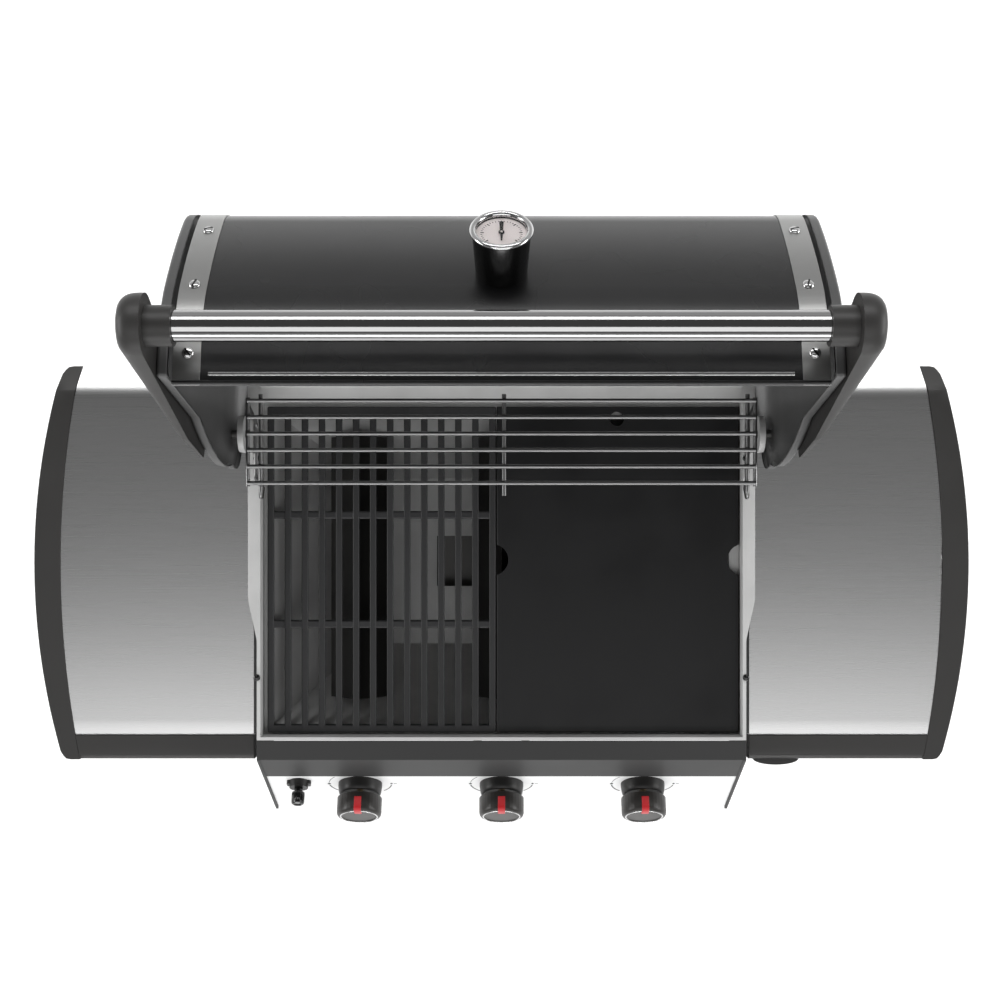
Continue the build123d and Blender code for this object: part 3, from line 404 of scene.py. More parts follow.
def add_band(bm, inner, outer, x_low, x_high, lip_v=LIP_V):
    """A strip of the hood's skin between two lines of its section."""
    rows = []
    for line in (hood_curve(inner, lip_v), hood_curve(outer, lip_v)):
        for x in (x_low, x_high):
            rows.append([bm.verts.new(hood_place(x, u, v)) for u, v in line])
    in_low, in_high, out_low, out_high = rows
    for i in range(len(in_low) - 1):
        bm.faces.new((in_low[i], in_low[i + 1], in_high[i + 1], in_high[i]))
        bm.faces.new((out_low[i], out_high[i], out_high[i + 1], out_low[i + 1]))
        bm.faces.new((in_low[i], out_low[i], out_low[i + 1], in_low[i + 1]))
        bm.faces.new((in_high[i], in_high[i + 1], out_high[i + 1], out_high[i]))
    for i in (0, -1):
        bm.faces.new((in_low[i], in_high[i], out_high[i], out_low[i]))


def build_shell(bm):
    add_band(bm, -HOOD_T, 0, -HOOD_X, HOOD_X)


piece_of(build_shell, "hood_skin", "black_enamel", "hood", ["hood_shell"], bevel=0.0006)
HEM_R = 0.003
HEM = ((0, 0), (HEM_R, 0), (HEM_R, 2 * HOOD_X), (0, 2 * HOOD_X))
hem_at = hood_place(-HOOD_X, HOOD_START[0] + 0.0008, LIP_V + HEM_R)
piece_of(
    lambda bm: add_lathe(bm, HEM, hem_at, (1, 0, 0), 16),
    "hood_hem",
    "black_enamel",
    "hood",
)

for side, word in ((-1, "left"), (1, "right")):
    ends = sorted((side * TRIM_X, side * HOOD_X))
    piece_of(
        lambda bm: add_band(bm, 0.0, TRIM_T, *ends),
        f"hood_band_{word}",
        "steel_brushed",
        "hood",
        [f"hood_trim_{word}"],
        bevel=0.0004,
        material=MATERIALS["trim_brushed"],
    )

# The end cap's outline: the hood's curve, the round eye at the hinge and the lobe below the rim.
EYE, EYE_R = (0.0, 0.0), 0.042
CAP_LIP_V, CAP_BORDER, CAP_DISH = -0.049, 0.006, 0.009
LOBE = (
    (-0.012, -0.0402),
    (-0.042, -0.051),
    (-0.075, -0.0565),
    (-0.117, -0.0575),
    (-0.170, -0.053),
    (-0.222, -0.043),
)
cap_outline = hood_curve(TRIM_T, CAP_LIP_V)
cap_outline += arc_points(EYE, EYE_R, -10, -106, 16)
cap_outline += smooth_points(LOBE)[1:]


def build_cap(side):
    """An end cap, dished on its inner side."""

    def build(bm):
        outer, inner = side * CAP_X, side * HOOD_X
        ends = add_prism(bm, cap_outline, inner, outer, in_hood)
        bm.faces.ensure_lookup_table()
        face = next(f for f in bm.faces if all(v in ends[0] for v in f.verts))
        bmesh.ops.inset_region(bm, faces=[face], thickness=CAP_BORDER)
        bmesh.ops.translate(bm, verts=face.verts, vec=(side * CAP_DISH, 0, 0))

    return build


for side, word in ((-1, "left"), (1, "right")):
    piece_of(
        build_cap(side),
        f"hood_end_{word}",
        "grey_plastic",
        "hood",
        [f"hood_end_cap_{word}"],
        bevel=0.004,
        segments=4,
        angle=50,
        material=MATERIALS["cap_grey"],
    )

# ---- Handle arms: broad at the bar, slim at the hinge, with a full round on the outside ----
HANDLE = (-0.4386, -0.0145)
ARM_ROUNDS = (
    (HANDLE, 0.031),
    ((-0.335, -0.032), 0.019),
    ((-0.222, -0.050), 0.017),
    ((-0.140, -0.057), 0.008),
)
ARM_EDGE, ARM_SLIM, ARM_LEAST = 0.016, 0.022, 0.002
LEAN_FROM, LEAN = -0.400, 0.077


def arm_ring(rounds, count=160):
    """The hull round the arm's circles, as the same number of evenly turning points each time."""
    points = []
    for k in range(count):
        turn = 2 * pi * k / count
        way = Vector((cos(turn), sin(turn)))
        center, radius = max(rounds, key=lambda q: Vector(q[0]).dot(way) + q[1])
        points.append((center[0] + radius * way.x, center[1] + radius * way.y))
    return points


def build_arm(side):
    """A tapering blade, its outer side rounded in steps from the inner face to the outer one."""

    def build(bm):
        steps = 10
        thick = ARM_X - CAP_X
        rings = []
        for k in range(steps + 1):
            t = k / steps
            shrink = ARM_EDGE * (1 - (1 - t**2.6) ** 0.5) if t else 0
            rounds = [(c, max(r - shrink * min(1, r / ARM_SLIM), ARM_LEAST)) for c, r in ARM_ROUNDS]
            rings.append((CAP_X + thick * (t**0.75), arm_ring(rounds)))
        rows = []
        for x, ring in rings:
            part = (x - CAP_X) / thick
            spots = [(x - part * max(0, u - LEAN_FROM) * LEAN, u, v) for u, v in ring]
            rows.append([bm.verts.new(hood_place(side * at, u, v)) for at, u, v in spots])
        count = len(rows[0])
        for low, high in zip(rows, rows[1:]):
            for i in range(count):
                j = (i + 1) % count
                bm.faces.new((low[i], low[j], high[j], high[i]))
        bm.faces.new(rows[0][::-1])
        bm.faces.new(rows[-1])

    return build


for side, word in ((-1, "left"), (1, "right")):
    piece_of(
        build_arm(side),
        f"handle_side_{word}",
        "grey_plastic",
        "hood",
        [f"handle_arm_{word}"],
        angle=60,
    )

# ---- Hood screws: domes with a flat rim, their slots drawn as painted shade ----
SCREWS = ((140.2, 0.0), (149.8, 0.0), (180.0, 0.0146))
SCREW_X = 0.3025
DOME = ((0.006, 0), (0.006, 0.0006), (0.0052, 0.0020), (0.0036, 0.0029), (0.0016, 0.0032), (0, 0.0032))
# Size and height of the black bars that stand as painted shade for the screws' slots.
SLOT_SHADE_HALF_LONG, SLOT_SHADE_HALF_WIDE, SLOT_SHADE_LOW, SLOT_SHADE_HIGH = 0.0046, 0.0009, 0.0020, 0.00335


def screw_places():
    """Foot, outward direction and number of each hood screw."""
    for x in (-SCREW_X, SCREW_X):
        for k, (turn, drop) in enumerate(SCREWS):
            u, v = hood_spot(turn, TRIM_T)
            yield hood_place(x, u, v - drop), hood_direction(cos(radians(turn)), sin(radians(turn))), k


def build_screws(bm):
    for foot, out, k in screw_places():
        add_lathe(bm, DOME, foot, out, 32)


piece_of(build_screws, "hood_screw_heads", "chrome", "hood", ["hood_screws"], angle=40)


def build_slot_shades(bm):
    """A black bar across each screw's head: painted shade standing in for the shadowed groove of its slot."""
    for foot, out, k in screw_places():
        turn = 0.4 + 0.9 * k
        along = Vector((1, 0, 0)) * cos(turn) + out.cross(Vector((1, 0, 0))) * sin(turn)
        across = out.cross(along)
        long, wide = SLOT_SHADE_HALF_LONG, SLOT_SHADE_HALF_WIDE
        corners = [(-long, -wide), (long, -wide), (long, wide), (-long, wide)]
        add_prism(
            bm,
            corners,
            SLOT_SHADE_LOW,
            SLOT_SHADE_HIGH,
            lambda a, b, e: foot + along * a + across * b + out * e,
        )


# Painted shade: black bars on the chrome domes where the slots' grooves would be in shadow.
piece_of(build_slot_shades, "hood_screw_slot_shades", "black_gloss", "hood")

# ---- Thermometer ----
TILT = radians(32)
DIAL_OUT = hood_direction(-cos(TILT), sin(TILT))
DIAL_FOOT = hood_place(0, -0.3613, 0.0688)
HOUSING_R, HOUSING_H, BEZEL_R = 0.029, 0.0483, 0.0313
ACROSS = Vector((1, 0, 0))
DIAL_UP = DIAL_OUT.cross(ACROSS)
bezel_profile = (
    (HOUSING_R - 0.004, 0.0),
    (BEZEL_R - 0.0015, 0.0),
    (BEZEL_R, 0.0012),
    (BEZEL_R, 0.0028),
    (BEZEL_R - 0.0012, 0.0044),
    (BEZEL_R - 0.0030, 0.0050),
    (BEZEL_R - 0.0048, 0.0044),
    (HOUSING_R - 0.0038, 0.0026),
    (HOUSING_R - 0.0040, 0.0),
)
bezel_foot = DIAL_FOOT + DIAL_OUT * HOUSING_H
piece_of(
    lambda bm: add_lathe(bm, bezel_profile, bezel_foot, DIAL_OUT, 96),
    "thermometer_ring",
    "chrome",
    "hood",
    ["thermometer_bezel"],
    angle=70,
)


def dial_place(a, b, e):
    """A place over the dial: across, up, and out from the bezel's foot."""
    return bezel_foot + ACROSS * a + DIAL_UP * b + DIAL_OUT * e


TICKS, TICK_R, TICK_LOW, TICK_HIGH = 31, 0.0205, -0.00205, -0.0017
LONG_TICK, SHORT_TICK = (0.0034, 0.00045), (0.0018, 0.00025)


def build_ticks(bm):
    """Plain scale marks round the dial, every fifth one longer."""
    for k in range(TICKS):
        turn = radians(-40 + 260 * k / (TICKS - 1))
        out = Vector((cos(turn), sin(turn)))
        side = Vector((-out.y, out.x))
        length, half = LONG_TICK if k % 5 == 0 else SHORT_TICK
        corners = [
            out * (TICK_R - length) - side * half,
            out * TICK_R - side * half,
            out * TICK_R + side * half,
            out * (TICK_R - length) + side * half,
        ]
        add_prism(bm, [tuple(c) for c in corners], TICK_LOW, TICK_HIGH, dial_place)


piece_of(build_ticks, "thermometer_ticks", "black_gloss", "hood")
glass_profile = (
    (0, 0.0030),
    (0.012, 0.0029),
    (0.020, 0.0025),
    (0.0248, 0.0018),
    (0.0248, 0.0012),
    (0, 0.0016),
)
piece_of(
    lambda bm: add_lathe(bm, glass_profile, bezel_foot, DIAL_OUT, 64),
    "thermometer_glass",
    "dial_face",
    "hood",
    material=MATERIALS["glass"],
    angle=70,
)

# ---- Control panel frame ----
PANEL_TILT = radians(29)
PANEL_UP = Vector((0, sin(PANEL_TILT), cos(PANEL_TILT)))
PANEL_OUT = Vector((0, -cos(PANEL_TILT), sin(PANEL_TILT)))
PANEL_TOP = Vector((0, GRILL_Y - 0.325, RIM_Z)) - PANEL_OUT * 0.002
STATIONS = (("left", -0.184), ("middle", 0.0), ("right", 0.184))
KNOB_DOWN, BEZEL_H, KNOB_FOOT = 0.096, 0.015, 0.0196
IGNITER_X, IGNITER_DOWN = -0.263, 0.087


def panel_place(x, down, out):
    """A place on the sloping panel: across, down the slope, and out from its face."""
    return PANEL_TOP + ACROSS * x - PANEL_UP * down + PANEL_OUT * out


def raised(foot):
    """Placing call for a mark on the panel: across, up the slope, and out, from a foot."""
    return lambda a, b, e: foot + ACROSS * a + PANEL_UP * b + PANEL_OUT * e


KNOB_PROFILE = (
    (0.0042, KNOB_FOOT),
    (0.0282, KNOB_FOOT),
    (0.0289, KNOB_FOOT + 0.0008),
    (0.0289, KNOB_FOOT + 0.0196),
    (0.0283, KNOB_FOOT + 0.0222),
    (0.0268, KNOB_FOOT + 0.0242),
    (0.0247, KNOB_FOOT + 0.0251),
    (0.0226, KNOB_FOOT + 0.0250),
    (0.0221, KNOB_FOOT + 0.0242),
    (0.0, KNOB_FOOT + 0.0242),
)
RING_PROFILE = (
    (0.0246, KNOB_FOOT + 0.0249),
    (0.0243, KNOB_FOOT + 0.0255),
    (0.0230, KNOB_FOOT + 0.0256),
    (0.0227, KNOB_FOOT + 0.0250),
)
MARKER_HALF = 0.0046
MARKER = [
    (0.0268, 0.0064),
    (0.0293, 0.0070),
    (0.0293, 0.0196),
    (0.0287, 0.0226),
    (0.0270, 0.0249),
    (0.0240, 0.0258),
    (0.0130, 0.0254),
    (0.0118, 0.0236),
    (0.0235, 0.0236),
    (0.0265, 0.0200),
]
BEZEL_PROFILE = (
    (0.0090, 0.0),
    (0.0285, 0.0),
    (0.0285, 0.0040),
    (0.0277, 0.0100),
    (0.0270, BEZEL_H - 0.0016),
    (0.0258, BEZEL_H - 0.0003),
    (0.0230, BEZEL_H),
    (0.0200, BEZEL_H - 0.0020),
    (0.0090, BEZEL_H - 0.0020),
)


def build_bezels(bm):
    for place, x in STATIONS:
        add_lathe(bm, BEZEL_PROFILE, panel_place(x, KNOB_DOWN, 0), PANEL_OUT, 96)


piece_of(build_bezels, "knob_surrounds", "dark_plastic", "cart", ["knob_bezels"], angle=35)

for place, x in STATIONS:
    foot = panel_place(x, KNOB_DOWN, 0)
    body = f"knob_{place}"
    piece_of(
        lambda bm: add_lathe(bm, KNOB_PROFILE, foot, PANEL_OUT, 144, wave=(36, 0.00022, 3, 4)),
        f"knob_{place}_body",
        "dark_plastic",
        body,
        [f"knob_{place}"],
        angle=40,
        material=MATERIALS["knob_body"],
    )
    piece_of(
        lambda bm: add_lathe(bm, RING_PROFILE, foot, PANEL_OUT, 96),
        f"knob_{place}_ring",
        "dark_plastic",
        body,
        material=MATERIALS["chrome"],
        angle=70,
    )
    piece_of(
        lambda bm: add_prism(
            bm,
            MARKER,
            -MARKER_HALF,
            MARKER_HALF,
            lambda a, b, e: foot + PANEL_UP * a + PANEL_OUT * (KNOB_FOOT + b) + ACROSS * e,
        ),
        f"knob_{place}_marker",
        "dark_plastic",
        body,
        bevel=0.0006,
        material=MATERIALS["marker_red"],
    )


def add_arc(bm, center, radius, start, end, width, low, high, place, steps=20):
    """A flat curved stroke."""
    outer = arc_points(center, radius + width / 2, start, end, steps)
    inner = arc_points(center, radius - width / 2, end, start, steps)
    add_prism(bm, outer + inner, low, high, place)


FLAME = (
    (0, -0.0026),
    (0.0015, -0.0014),
    (0.0017, 0.0002),
    (0.0007, 0.0014),
    (0.0002, 0.0030),
    (-0.0009, 0.0014),
    (-0.0017, 0.0004),
    (-0.0014, -0.0015),
)
DASH = ((0.0435, -0.0006), (0.0475, -0.0006), (0.0475, 0.0006), (0.0435, 0.0006))
STROKES = ((140, 172, 0.0008), (188, 226, 0.0018), (-44, -8, 0.0014))
PRINT_R, INK_LOW, INK_HIGH = 0.0405, 0.00002, 0.00014


def build_prints(bm):
    """Printed strokes and flame marks at both sides of each knob."""
    for place, x in STATIONS:
        foot = raised(panel_place(x, KNOB_DOWN, 0))
        for start, end, width in STROKES:
            add_arc(bm, (0, 0), PRINT_R, start, end, width, INK_LOW, INK_HIGH, foot)
        for middle, grow in ((-PRINT_R, 1.3), (PRINT_R, 1.0)):
            flame = [(middle + a * grow, b * grow) for a, b in FLAME]
            add_prism(bm, flame, INK_LOW, INK_HIGH, foot)
        add_prism(bm, DASH, INK_LOW, INK_HIGH, foot)


piece_of(build_prints, "panel_prints", "panel_paint", "cart", material=MATERIALS["ink"])

igniter_foot = panel_place(IGNITER_X, IGNITER_DOWN, 0)
IGNITER_STEM = ((0, -0.014), (0.00544, -0.014), (0.00544, 0.0135), (0, 0.0135))
BARREL = (
    (0.0, 0.0130),
    (0.0054, 0.0130),
    (0.0054, 0.0150),
    (0.0080, 0.0152),
    (0.0084, 0.0165),
    (0.0084, 0.0280),
    (0.0078, 0.0302),
    (0.0060, 0.0313),
    (0.0050, 0.0312),
    (0.0044, 0.0300),
    (0.0, 0.0300),
)


def build_barrel(bm):
    add_lathe(bm, BARREL, igniter_foot, PANEL_OUT, 96, wave=(24, 0.00035, 4, 6))
    add_lathe(bm, IGNITER_STEM, igniter_foot, PANEL_OUT, 48)


piece_of(build_barrel, "igniter_barrel", "black_gloss", "igniter_button", ["igniter_button"], angle=35)


# ---- Side tables ----
TABLE_Z = RIM_Z - 0.028
TRIM_FRONT, TABLE_FRONT = GRILL_Y - 0.329, GRILL_Y - 0.298
TABLE_CREASE, TABLE_REAR, TABLE_DROP = GRILL_Y + 0.1395, GRILL_Y + 0.171, 0.014
TABLE_MIDDLE = (TRIM_FRONT + TABLE_REAR) / 2
HALF_DEPTH = (TABLE_REAR - TRIM_FRONT) / 2
TABLE_BOTTOM, TABLE_LIP = TABLE_Z - 0.045, TABLE_Z + 0.001


def arc_x(corner, middle, y):
    """Where a shallow arc through two corners and a middle lies at a depth."""
    rise = middle - corner
    radius = (HALF_DEPTH**2 + rise**2) / (2 * rise)
    return middle - radius + max(radius**2 - (y - TABLE_MIDDLE) ** 2, 0) ** 0.5


def table_outer(y):
    """The edge of the sheet and the front trim against the end cap."""
    return arc_x(0.534, 0.559, y)


INNER_EDGE = (
    (-0.330, 0.314),
    (-0.160, 0.314),
    (-0.135, 0.319),
    (0.0915, 0.319),
    (0.0925, 0.345),
    (0.172, 0.345),
)


def table_inner(y):
    """The edge beside the firebox, stepped round its bend and the hood's end cap."""
    at = y - GRILL_Y
    for (y0, x0), (y1, x1) in zip(INNER_EDGE, INNER_EDGE[1:]):
        if at <= y1:
            return x0 + (x1 - x0) * max(0, at - y0) / (y1 - y0)
    return INNER_EDGE[-1][1]


def dense(points, step):
    """The same closed outline with its long edges cut into short ones."""
    found = []
    for a, b in zip(points, points[1:] + points[:1]):
        parts = max(1, int((Vector(b) - Vector(a)).length / step))
        found += [tuple(Vector(a).lerp(Vector(b), k / parts)) for k in range(parts)]
    return found


def add_run(bm, section, low, high, side):
    """A section in Y and Z run across X between two edges that follow the depth."""
    rows = [[bm.verts.new((side * edge(y), y, z)) for y, z in section] for edge in (low, high)]
    count = len(section)
    for i in range(count):
        j = (i + 1) % count
        bm.faces.new((rows[0][i], rows[0][j], rows[1][j], rows[1][i]))
    for row in rows:
        bmesh.ops.triangulate(bm, faces=[bm.faces.new(row)])


CREASE_R, SHEET = 0.012, 0.0015


def table_section():
    """The table top's sheet: rolled front, flat top, soft crease and sloping rear strip."""
    slope = TABLE_DROP / (TABLE_REAR - TABLE_CREASE)
    top = [(TABLE_FRONT, TABLE_Z - 0.022), (TABLE_FRONT, TABLE_Z - 0.003)]
    top += arc_points((TABLE_FRONT + 0.003, TABLE_Z - 0.003), 0.003, 180, 90, 6)
    cuts = 26
    span = TABLE_CREASE - CREASE_R - TABLE_FRONT - 0.003
    top += [(TABLE_FRONT + 0.003 + span * k / cuts, TABLE_Z) for k in range(1, cuts + 1)]
    for k in range(1, 7):
        t = k / 6
        at = TABLE_CREASE - CREASE_R + 2 * CREASE_R * t
        top.append((at, TABLE_Z - slope * CREASE_R * t * t))
    top.append((TABLE_REAR - 0.0005, TABLE_Z - TABLE_DROP + 0.0003))
    top.append((TABLE_REAR, TABLE_Z - TABLE_DROP - 0.020))
    low = []
    for y, z in reversed(top):
        inner = min(max(y, TABLE_FRONT + SHEET), TABLE_REAR - SHEET)
        low.append((inner, z - SHEET if TABLE_FRONT + 0.002 < y < TABLE_REAR - 0.0003 else z))
    return top + low


def table_cap_outline():
    """Plan of a table's end cap, its outer corners rounded."""
    steps = 48
    outer = []
    for k in range(steps + 1):
        y = TRIM_FRONT + (TABLE_REAR - TRIM_FRONT) * k / steps
        outer.append((arc_x(0.556, 0.5925, y), y))
    front = [(outer[0][0] - 0.010, TRIM_FRONT), (outer[0][0] - 0.004, TRIM_FRONT + 0.0012)]
    front.append((outer[0][0] - 0.0004, TRIM_FRONT + 0.0050))
    rear = [(x, TABLE_REAR + TRIM_FRONT - y) for x, y in reversed(front)]
    inner = [(table_outer(y), y) for x, y in reversed(outer)]
    return front + outer[1:-1] + rear + inner


def build_table_cap(side):
    """An end cap as high as the table, its top cut along the rear slope."""

    def build(bm):
        add_prism(bm, table_cap_outline(), TABLE_BOTTOM, TABLE_LIP, lambda a, b, e: (side * a, b, e))
        slope = Vector((0, TABLE_DROP, TABLE_REAR - TABLE_CREASE)).normalized()
        crease = (0, TABLE_CREASE, TABLE_LIP)
        parts = bm.verts[:] + bm.edges[:] + bm.faces[:]
        cut = bmesh.ops.bisect_plane(bm, geom=parts, plane_co=crease, plane_no=slope, clear_outer=True)
        rim = [g for g in cut["geom_cut"] if isinstance(g, bmesh.types.BMEdge)]
        bmesh.ops.contextual_create(bm, geom=rim)

    return build


front_strip = [(TRIM_FRONT, TABLE_BOTTOM)]
front_strip += arc_points((TRIM_FRONT + 0.009, TABLE_Z - 0.008), 0.009, 180, 90, 8)
front_strip.append((TABLE_FRONT - 0.0008, TABLE_LIP))
front_strip += [(TABLE_FRONT, TABLE_Z + 0.0002), (TABLE_FRONT, TABLE_BOTTOM)]

for side, word in ((-1, "left"), (1, "right")):
    piece_of(
        lambda bm: add_run(bm, table_section(), table_inner, table_outer, side),
        f"table_sheet_{word}",
        "steel_brushed",
        "cart",
        [f"table_top_{word}"],
        angle=25,
        material=MATERIALS["table_steel"],
    )
    piece_of(
        lambda bm: add_run(bm, dense(front_strip, 0.006), table_inner, table_outer, side),
        f"table_front_{word}",
        "grey_plastic",
        "cart",
        [f"table_front_trim_{word}"],
        angle=30,
    )
    piece_of(
        build_table_cap(side),
        f"table_end_{word}",
        "grey_plastic",
        "cart",
        [f"table_end_cap_{word}"],
        bevel=0.006,
        segments=5,
        angle=40,
    )

# ---- Cooking grate: rounded cast bars on a frame ----
GRATE_X = (-0.296, -0.007)
GRATE_Y = (GRILL_Y - 0.294, GRILL_Y + 0.118)
GRATE_TOP, GRATE_T, BAR_W, BARS = RIM_Z - 0.020, 0.012, 0.009, 14
CROSS_BARS, CROSS_HALF = (GRILL_Y - 0.157, GRILL_Y - 0.019), 0.005
BAR_TAPER, BAR_GAP = 0.0015, 0.0002


def build_grate(bm):
    """Tapered bars on a front and a rear rail, with two cross bars a little below them."""
    bottom = GRATE_TOP - GRATE_T
    bar_top = GRATE_TOP - BAR_GAP
    pitch = (GRATE_X[1] - GRATE_X[0] - BAR_W) / (BARS - 1)
    half, foot = BAR_W / 2, BAR_W / 2 - BAR_TAPER
    for i in range(BARS):
        x = GRATE_X[0] + BAR_W / 2 + pitch * i
        section = [(x - foot, bottom), (x + foot, bottom), (x + half, bar_top), (x - half, bar_top)]
        add_prism(bm, section, GRATE_Y[0] + BAR_GAP, GRATE_Y[1] - BAR_GAP, lambda a, b, e: (a, e, b))
    for y0, y1 in ((GRATE_Y[0], GRATE_Y[0] + 0.010), (GRATE_Y[1] - 0.012, GRATE_Y[1])):
        add_box(bm, (GRATE_X[0], y0, bottom), (GRATE_X[1], y1, GRATE_TOP - 0.0003))
    for y in CROSS_BARS:
        low = (GRATE_X[0], y - CROSS_HALF, bottom)
        add_box(bm, low, (GRATE_X[1], y + CROSS_HALF, GRATE_TOP - 0.0010))


piece_of(
    build_grate,
    "grate_bars",
    "cast_iron",
    "cooking_grate",
    ["cooking_grate"],
    bevel=0.0022,
    segments=4,
    material=MATERIALS["grate_iron"],
)

# ---- Studs on the firebox rim ----
STUD = ((0, 0), (0.0042, 0), (0.0042, 0.0016), (0.0034, 0.0030), (0.0018, 0.0036), (0, 0.0037))
STUD_X, STUD_DEPTHS = 0.3057, (GRILL_Y - 0.222, GRILL_Y + 0.052)


def build_studs(bm):
    for x in (-STUD_X, STUD_X):
        for y in STUD_DEPTHS:
            add_lathe(bm, STUD, (x, y, RIM_Z), (0, 0, 1), 32)


piece_of(
    build_studs,
    "rim_studs",
    "cast_aluminium",
    "cart",
    angle=50,
    material=MATERIALS["black_gloss"],
)

# ---- Doors with bar handles ----
DOOR_Y = (GRILL_Y - 0.312, GRILL_Y - 0.294)
DOOR_X, DOOR_Z = (0.0015, 0.303), (0.110, 0.705)
DOOR_SHEET, BORDER_W, BORDER_SLOPE, BORDER_DEPTH = 0.0015, 0.022, 0.003, 0.0010
HANDLE_X, HANDLE_OUT = 0.034, 0.030
HANDLE_ROD = ((0, 0), (0.0048, 0), (0.006, 0.0012), (0.006, 0.1888), (0.0048, 0.190), (0, 0.190))
POST = ((0.0062, 0), (0.0062, 0.0012), (0.0050, 0.0020), (0.0042, 0.004), (0.0042, 0.030))



def build_door_handle(side):
    """A bar on two posts."""

    def build(bm):
        x = side * HANDLE_X
        add_lathe(bm, HANDLE_ROD, (x, DOOR_Y[0] - HANDLE_OUT, DOOR_Z[1] - 0.235), (0, 0, 1), 32)
        for z in (DOOR_Z[1] - 0.220, DOOR_Z[1] - 0.060):
            add_lathe(bm, POST, (x, DOOR_Y[0], z), (0, -1, 0), 32)

    return build


def build_door(side):
    """A folded door: face, edges turned back, and a shallow pressed border."""

    def build(bm):
        (x0, x1), (y0, y1), (z0, z1) = DOOR_X, DOOR_Y, DOOR_Z
        outline = [(x0, z0), (x1, z0), (x1, z1), (x0, z1)]
        ends = add_prism(bm, outline, y0, y1, lambda a, b, e: (side * a, e, b))
        back = next(f for f in bm.faces if all(v in ends[1] for v in f.verts))
        bmesh.ops.inset_region(bm, faces=[back], thickness=DOOR_SHEET)
        bmesh.ops.translate(bm, verts=back.verts, vec=(0, -(y1 - y0) + DOOR_SHEET, 0))
        front = next(f for f in bm.faces if all(v in ends[0] for v in f.verts))
        bmesh.ops.inset_region(bm, faces=[front], thickness=BORDER_W)
        bmesh.ops.inset_region(bm, faces=[front], thickness=BORDER_SLOPE)
        bmesh.ops.translate(bm, verts=front.verts, vec=(0, BORDER_DEPTH, 0))

    return build


for side, word in ((-1, "left"), (1, "right")):
    body = f"door_{word}"
    piece_of(build_door(side), f"door_{word}_leaf", "cabinet_paint", body, [body], bevel=0.0010)
    piece_of(
        build_door_handle(side),
        f"door_{word}_handle",
        "cabinet_paint",
        body,
        angle=50,
        material=MATERIALS["chrome"],
    )

# ---- Wheels: a treaded tyre on a spoked hub ----
WHEEL_R, WHEEL_X, SPOKES, SPOKE_HALF = 0.044, 0.258, 6, 0.0112
SPOKE = ((0.012, -0.003), (0.026, -0.002), (0.026, 0.002), (0.012, 0.003))
TYRE = (
    (0.0270, -0.0130),
    (0.0330, -0.0148),
    (0.0400, -0.0135),
    (0.0432, -0.0105),
    (0.0440, -0.0070),
    (0.0440, -0.0046),
    (0.0426, -0.0042),
    (0.0426, -0.0030),
    (0.0440, -0.0026),
    (0.0440, 0.0026),
    (0.0426, 0.0030),
    (0.0426, 0.0042),
    (0.0440, 0.0046),
    (0.0440, 0.0070),
    (0.0432, 0.0105),
    (0.0400, 0.0135),
    (0.0330, 0.0148),
    (0.0270, 0.0130),
    (0.0270, -0.0130),
)
HUB = (
    (0.0061, -0.0149),
    (0.0110, -0.0149),
    (0.0125, -0.0138),
    (0.0130, -0.0090),
    (0.0240, -0.0070),
    (0.0262, -0.0125),
    (0.0270, -0.0130),
    (0.0270, 0.0130),
    (0.0262, 0.0125),
    (0.0240, 0.0070),
    (0.0130, 0.0090),
    (0.0125, 0.0138),
    (0.0110, 0.0149),
    (0.0061, 0.0149),
    (0.0061, -0.0149),
)


def build_hub(middle):
    """A hub with its rim, held by flat spokes."""

    def build(bm):
        add_lathe(bm, HUB, middle, (0, 1, 0), 72)
        for k in range(SPOKES):
            turn = 2 * pi * k / SPOKES
            along = Vector((cos(turn), 0, sin(turn)))
            across = Vector((-sin(turn), 0, cos(turn)))
            add_prism(
                bm,
                SPOKE,
                -SPOKE_HALF,
                SPOKE_HALF,
                lambda a, b, e: Vector(middle) + along * a + across * b + Vector((0, e, 0)),
            )

    return build


for word, wheel_y in (("front", GRILL_Y - 0.240), ("rear", GRILL_Y + 0.060)):
    body = f"wheel_{word}"
    middle = (WHEEL_X, wheel_y, WHEEL_R)
    piece_of(
        lambda bm: add_lathe(bm, TYRE, middle, (0, 1, 0), 96),
        f"{body}_tyre",
        "tyre",
        body,
        [body],
        angle=35,
    )
    piece_of(build_hub(middle), f"{body}_hub", "tyre", body, angle=35, material=MATERIALS["grey_plastic"])

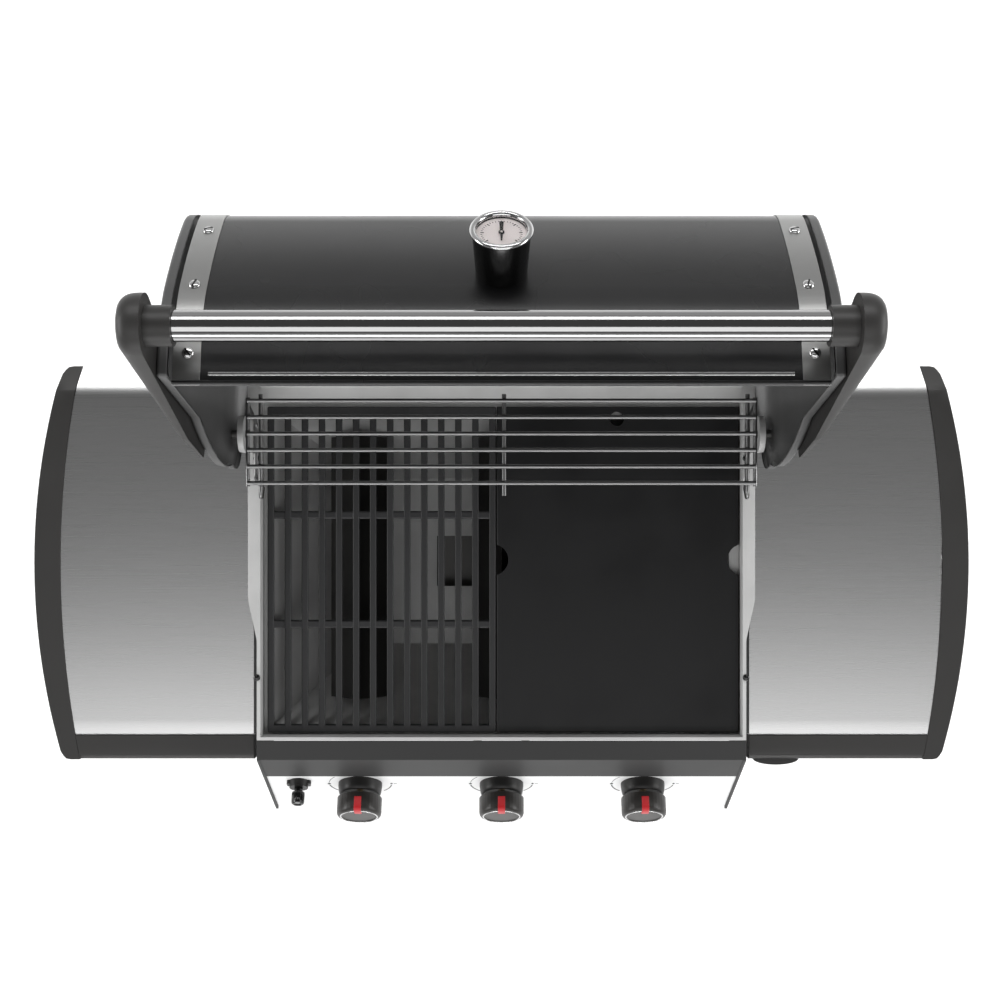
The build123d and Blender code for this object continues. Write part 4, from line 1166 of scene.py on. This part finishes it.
# ---- Floor and light ----
FLOOR_HALF, FLOOR_Z, FLOOR_GLOW = 30.0, -0.0005, 0.30
floor_mesh = bpy.data.meshes.new("floor")
signs = ((-1, -1), (1, -1), (1, 1), (-1, 1))
floor_corners = [(a * FLOOR_HALF, b * FLOOR_HALF, FLOOR_Z) for a, b in signs]
floor_mesh.from_pydata(floor_corners, [], [(0, 1, 2, 3)])
floor = bpy.data.objects.new("floor", floor_mesh)
bpy.context.scene.collection.objects.link(floor)
floor_shader = Shader(
    "floor",
    (0.92, 0.92, 0.92),
    0.9,
    Emission_Color=(1, 1, 1, 1),
    Emission_Strength=FLOOR_GLOW,
)
floor_mesh.materials.append(floor_shader.material)


def area_light(name, place, target, length, width, power):
    """A soft box aimed at a point."""
    data = bpy.data.lights.new(name, "AREA")
    data.energy = power
    data.shape = "RECTANGLE"
    data.size = length
    data.size_y = width
    light = bpy.data.objects.new(name, data)
    light.location = place
    light.rotation_euler = (Vector(target) - Vector(place)).to_track_quat("-Z", "Y").to_euler()
    bpy.context.scene.collection.objects.link(light)


MIDDLE = (0, GRILL_Y, RIM_Z)
BEFORE = (0, GRILL_Y - 1.4, RIM_Z)
area_light("overhead_front", (0, GRILL_Y - 1.90, RIM_Z + 3.6), BEFORE, 5.0, 2.4, 70)
area_light("low_front", (0, -3.4, 1.8), MIDDLE, 3.5, 0.9, 60)
area_light("side_left", (-3.6, 0.2, 2.0), MIDDLE, 2.6, 1.0, 60)
area_light("side_right", (3.6, 0.2, 2.0), MIDDLE, 2.6, 1.0, 70)
area_light("rear", (0, 3.3, 3.9), MIDDLE, 5.0, 1.3, 110)

# The sky of the studio: darker straight above, bright towards the horizon.
ZENITH, HORIZON = 0.10, 0.60
SKY_LOW, SKY_HIGH = 0.10, 0.75
world = bpy.data.worlds.new("studio")
bpy.context.scene.world = world
world.use_nodes = True
sky = world.node_tree
background = sky.nodes["Background"]
background.inputs["Color"].default_value = (1, 1, 1, 1)
heading = sky.nodes.new("ShaderNodeTexCoord")
split = sky.nodes.new("ShaderNodeSeparateXYZ")
height = sky.nodes.new("ShaderNodeMapRange")
height.interpolation_type = "SMOOTHSTEP"
height.inputs["From Min"].default_value = SKY_LOW
height.inputs["From Max"].default_value = SKY_HIGH
height.inputs["To Min"].default_value = HORIZON
height.inputs["To Max"].default_value = ZENITH
sky.links.new(heading.outputs["Generated"], split.inputs["Vector"])
sky.links.new(split.outputs["Z"], height.inputs["Value"])
sky.links.new(height.outputs["Result"], background.inputs["Strength"])
bpy.context.scene.view_settings.view_transform = "Standard"
